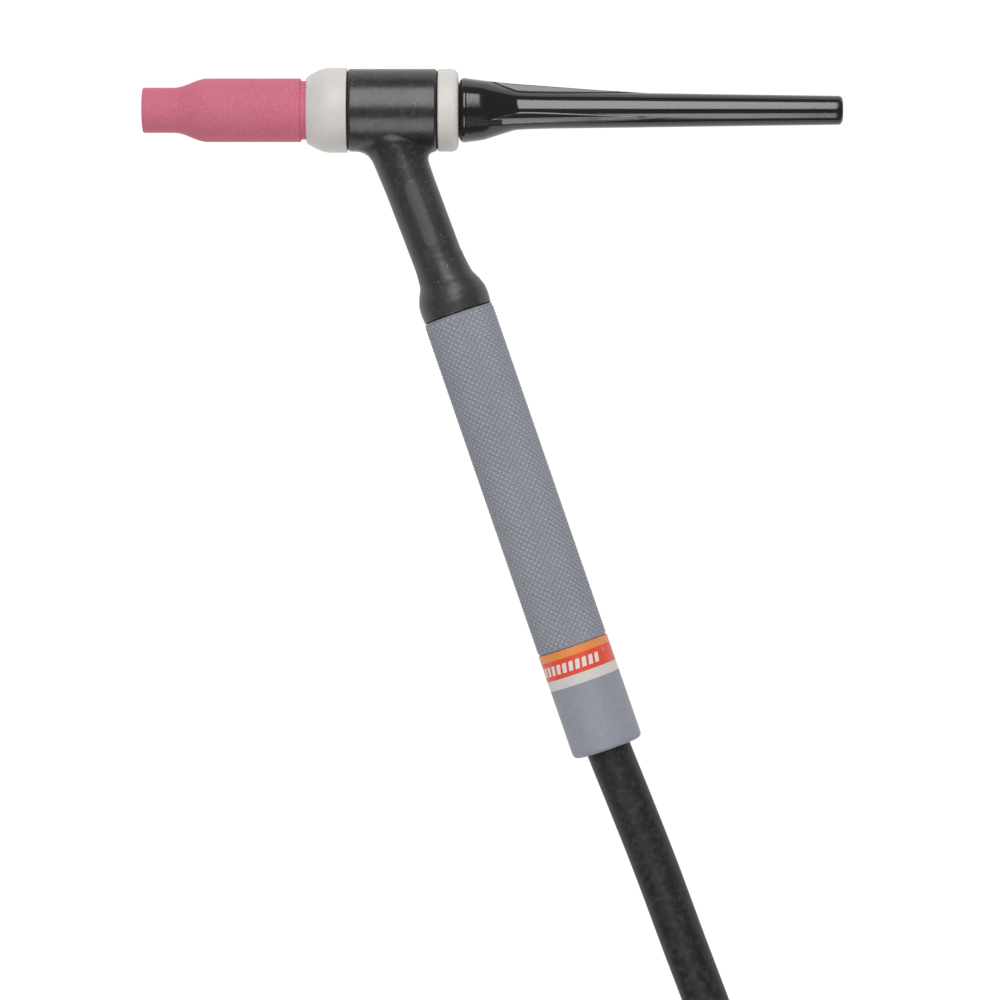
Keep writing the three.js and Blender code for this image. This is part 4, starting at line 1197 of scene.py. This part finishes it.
def make_machine_nut():
    """A chamfered hexagon with a threaded mouth and a turned collar at its back."""
    angles = even_angles(144)
    flats = NUT_FLATS / 2
    hexagon = flats / np.cos((angles + math.pi / 6) % (math.pi / 3) - math.pi / 6)
    front, front_chamfer, back, back_chamfer, collar = 1.5, 0.35, 13.2, 14.3, 15.0
    inside = NUT_LENGTH - NUT_WEB
    relief_r = NUT_BORE_R + 0.25
    outline = [(NUT_BORE_R + 0.5, 0.0), (flats - 0.3, 0.0),
               (np.minimum(hexagon, flats + 0.2), front_chamfer), (hexagon, front),
               (hexagon, back), (np.minimum(hexagon, flats + 0.35), back_chamfer),
               (flats - 0.5, collar - 0.4), (flats - 1.0, collar), (flats - 1.0, NUT_LENGTH - 0.6),
               (flats - 1.5, NUT_LENGTH), (NUT_HOLE_R + 0.3, NUT_LENGTH),
               (NUT_HOLE_R, NUT_LENGTH - 0.3), (NUT_HOLE_R, inside), (relief_r, inside),
               (relief_r, inside - 2.2)]
    outline += reversed(thread(NUT_BORE_R, NUT_BORE_R + 0.6, NUT_THREAD_PITCH, 0.4, inside - 2.4,
                               angles, steps=6))
    piece = turned("machine_union_nut", FITTING, outline, brass, angles, smooth=25)
    return belongs(piece, "nut", "brass", "machine_nut")


def make_machine_nipple():
    bore_r, cone_r, head_r, stem_r = 2.6, 6.2, 7.2, 4.2
    front, head_start, head_end, end = 12.2, 13.6, 15.2, 28.7
    outline = rounded((bore_r, front, 0.3), (cone_r, front, 0.3), (head_r, head_start, 0.3),
                      (head_r, head_end, 0.3), (stem_r, head_end, 0.2), (stem_r, end, 0.3),
                      (bore_r, end, 0.3))
    piece = turned("machine_nipple_cone", FITTING, outline, brass, even_angles(72))
    return belongs(piece, "torch", "brass", "machine_nipple")


def make_machine_ferrule():
    """A crimped sleeve: three pressed grooves, and a rolled rim over the cable."""
    start, end, radius, bore_r, stem_end = 20.3, 46.3, 8.2, 4.5, 29.0
    grooves, groove_depth, groove_width = (26.5, 32.5, 38.5), 0.75, 1.05
    profile = rounded((bore_r, start, 0.3), (radius - 0.6, start, 0.4),
                      (radius, start + 1.2, 0.5), (radius, end - 0.8, 0.5),
                      (radius - 0.7, end, 0.3), (1.0, end), (1.0, stem_end), (bore_r, stem_end))
    outline = []
    for (r0, s0), (r1, s1) in zip(profile, profile[1:] + profile[:1]):
        outline.append((r0, s0))
        if min(r0, r1) > radius - 0.05 and s1 - s0 > 5:
            for s in np.linspace(s0, s1, 70)[1:-1]:
                dip = sum(math.exp(-((s - c) / groove_width) ** 2) for c in grooves)
                ripple = 0.0012 * math.sin(s * 5.0)
                outline.append((radius - groove_depth * dip + ripple, s))
    piece = turned("machine_crimp_ferrule", FITTING, outline, brass, even_angles(72))
    return belongs(piece, "torch", "brass", "machine_ferrule")


# ---- everything is made here ------------------------------------------------------------------

make_nozzle()
make_front_insulator()
make_rear_insulator()
make_collet_body()
make_electrode()
make_collet()
make_back_cap()
make_cap_insert()
make_cap_seal()
make_head()
make_neck_pad()
make_handle()
make_band()
machine_end = [make_machine_nut(), make_machine_nipple(), make_machine_ferrule()]

for node, finish in (("head_core", brass), ("neck_tube", copper), ("stem_nipple", brass),
                     ("cable_nut", brass), ("cable_nipple", brass), ("cable_ferrule", brass)):
    frame["nodes"][node].data.materials.clear()
    frame["nodes"][node].data.materials.append(finish)

# ---- floor and light ---------------------------------------------------------------------------


def make_floor():
    """White paper that gives its own light, so that its tone doesn't hang on the lamps."""
    bpy.ops.mesh.primitive_plane_add(size=6)
    floor = bpy.context.object
    floor.name = "studio_floor"
    t = Finish("studio_paper")
    t.set(Base_Color=(0.06, 0.06, 0.06, 1), Roughness=0.95, Specular_IOR_Level=0.0)
    t.set(Emission_Color=(1, 1, 1, 1), Emission_Strength=1.0)
    floor.data.materials.append(t.material)


def make_light(name, y, height, size_x, size_y, power):
    """A panel that faces the origin; places and sizes are in metres."""
    data = bpy.data.lights.new(name, "AREA")
    data.shape = "RECTANGLE"
    data.size, data.size_y = size_x, size_y
    data.energy = power
    light = put_object(name, data)
    light.location = (0.0, y, height)
    light.rotation_euler = (-light.location).to_track_quat("-Z", "Y").to_euler()
    light.visible_camera = False


def make_world():
    """White to the camera, and a weaker glow on the object."""
    seen, glow = 1.0, 0.2
    world = bpy.data.worlds.new("studio")
    world.use_nodes = True
    g = Nodes(world.node_tree)
    background = world.node_tree.nodes["Background"].inputs
    background["Color"].default_value = (1, 1, 1, 1)
    to_camera = g.node("ShaderNodeLightPath").outputs["Is Camera Ray"]
    g.put(background["Strength"], g.math("MULTIPLY_ADD", to_camera, seen - glow, glow))
    bpy.context.scene.world = world


make_floor()
make_world()
make_light("window_light", 0.63, 0.90, 0.5, 1.04, 9.2)
make_light("fill_light", -0.88, 0.90, 0.5, 0.91, 5.6)
bpy.context.scene.view_settings.view_transform = "Standard"
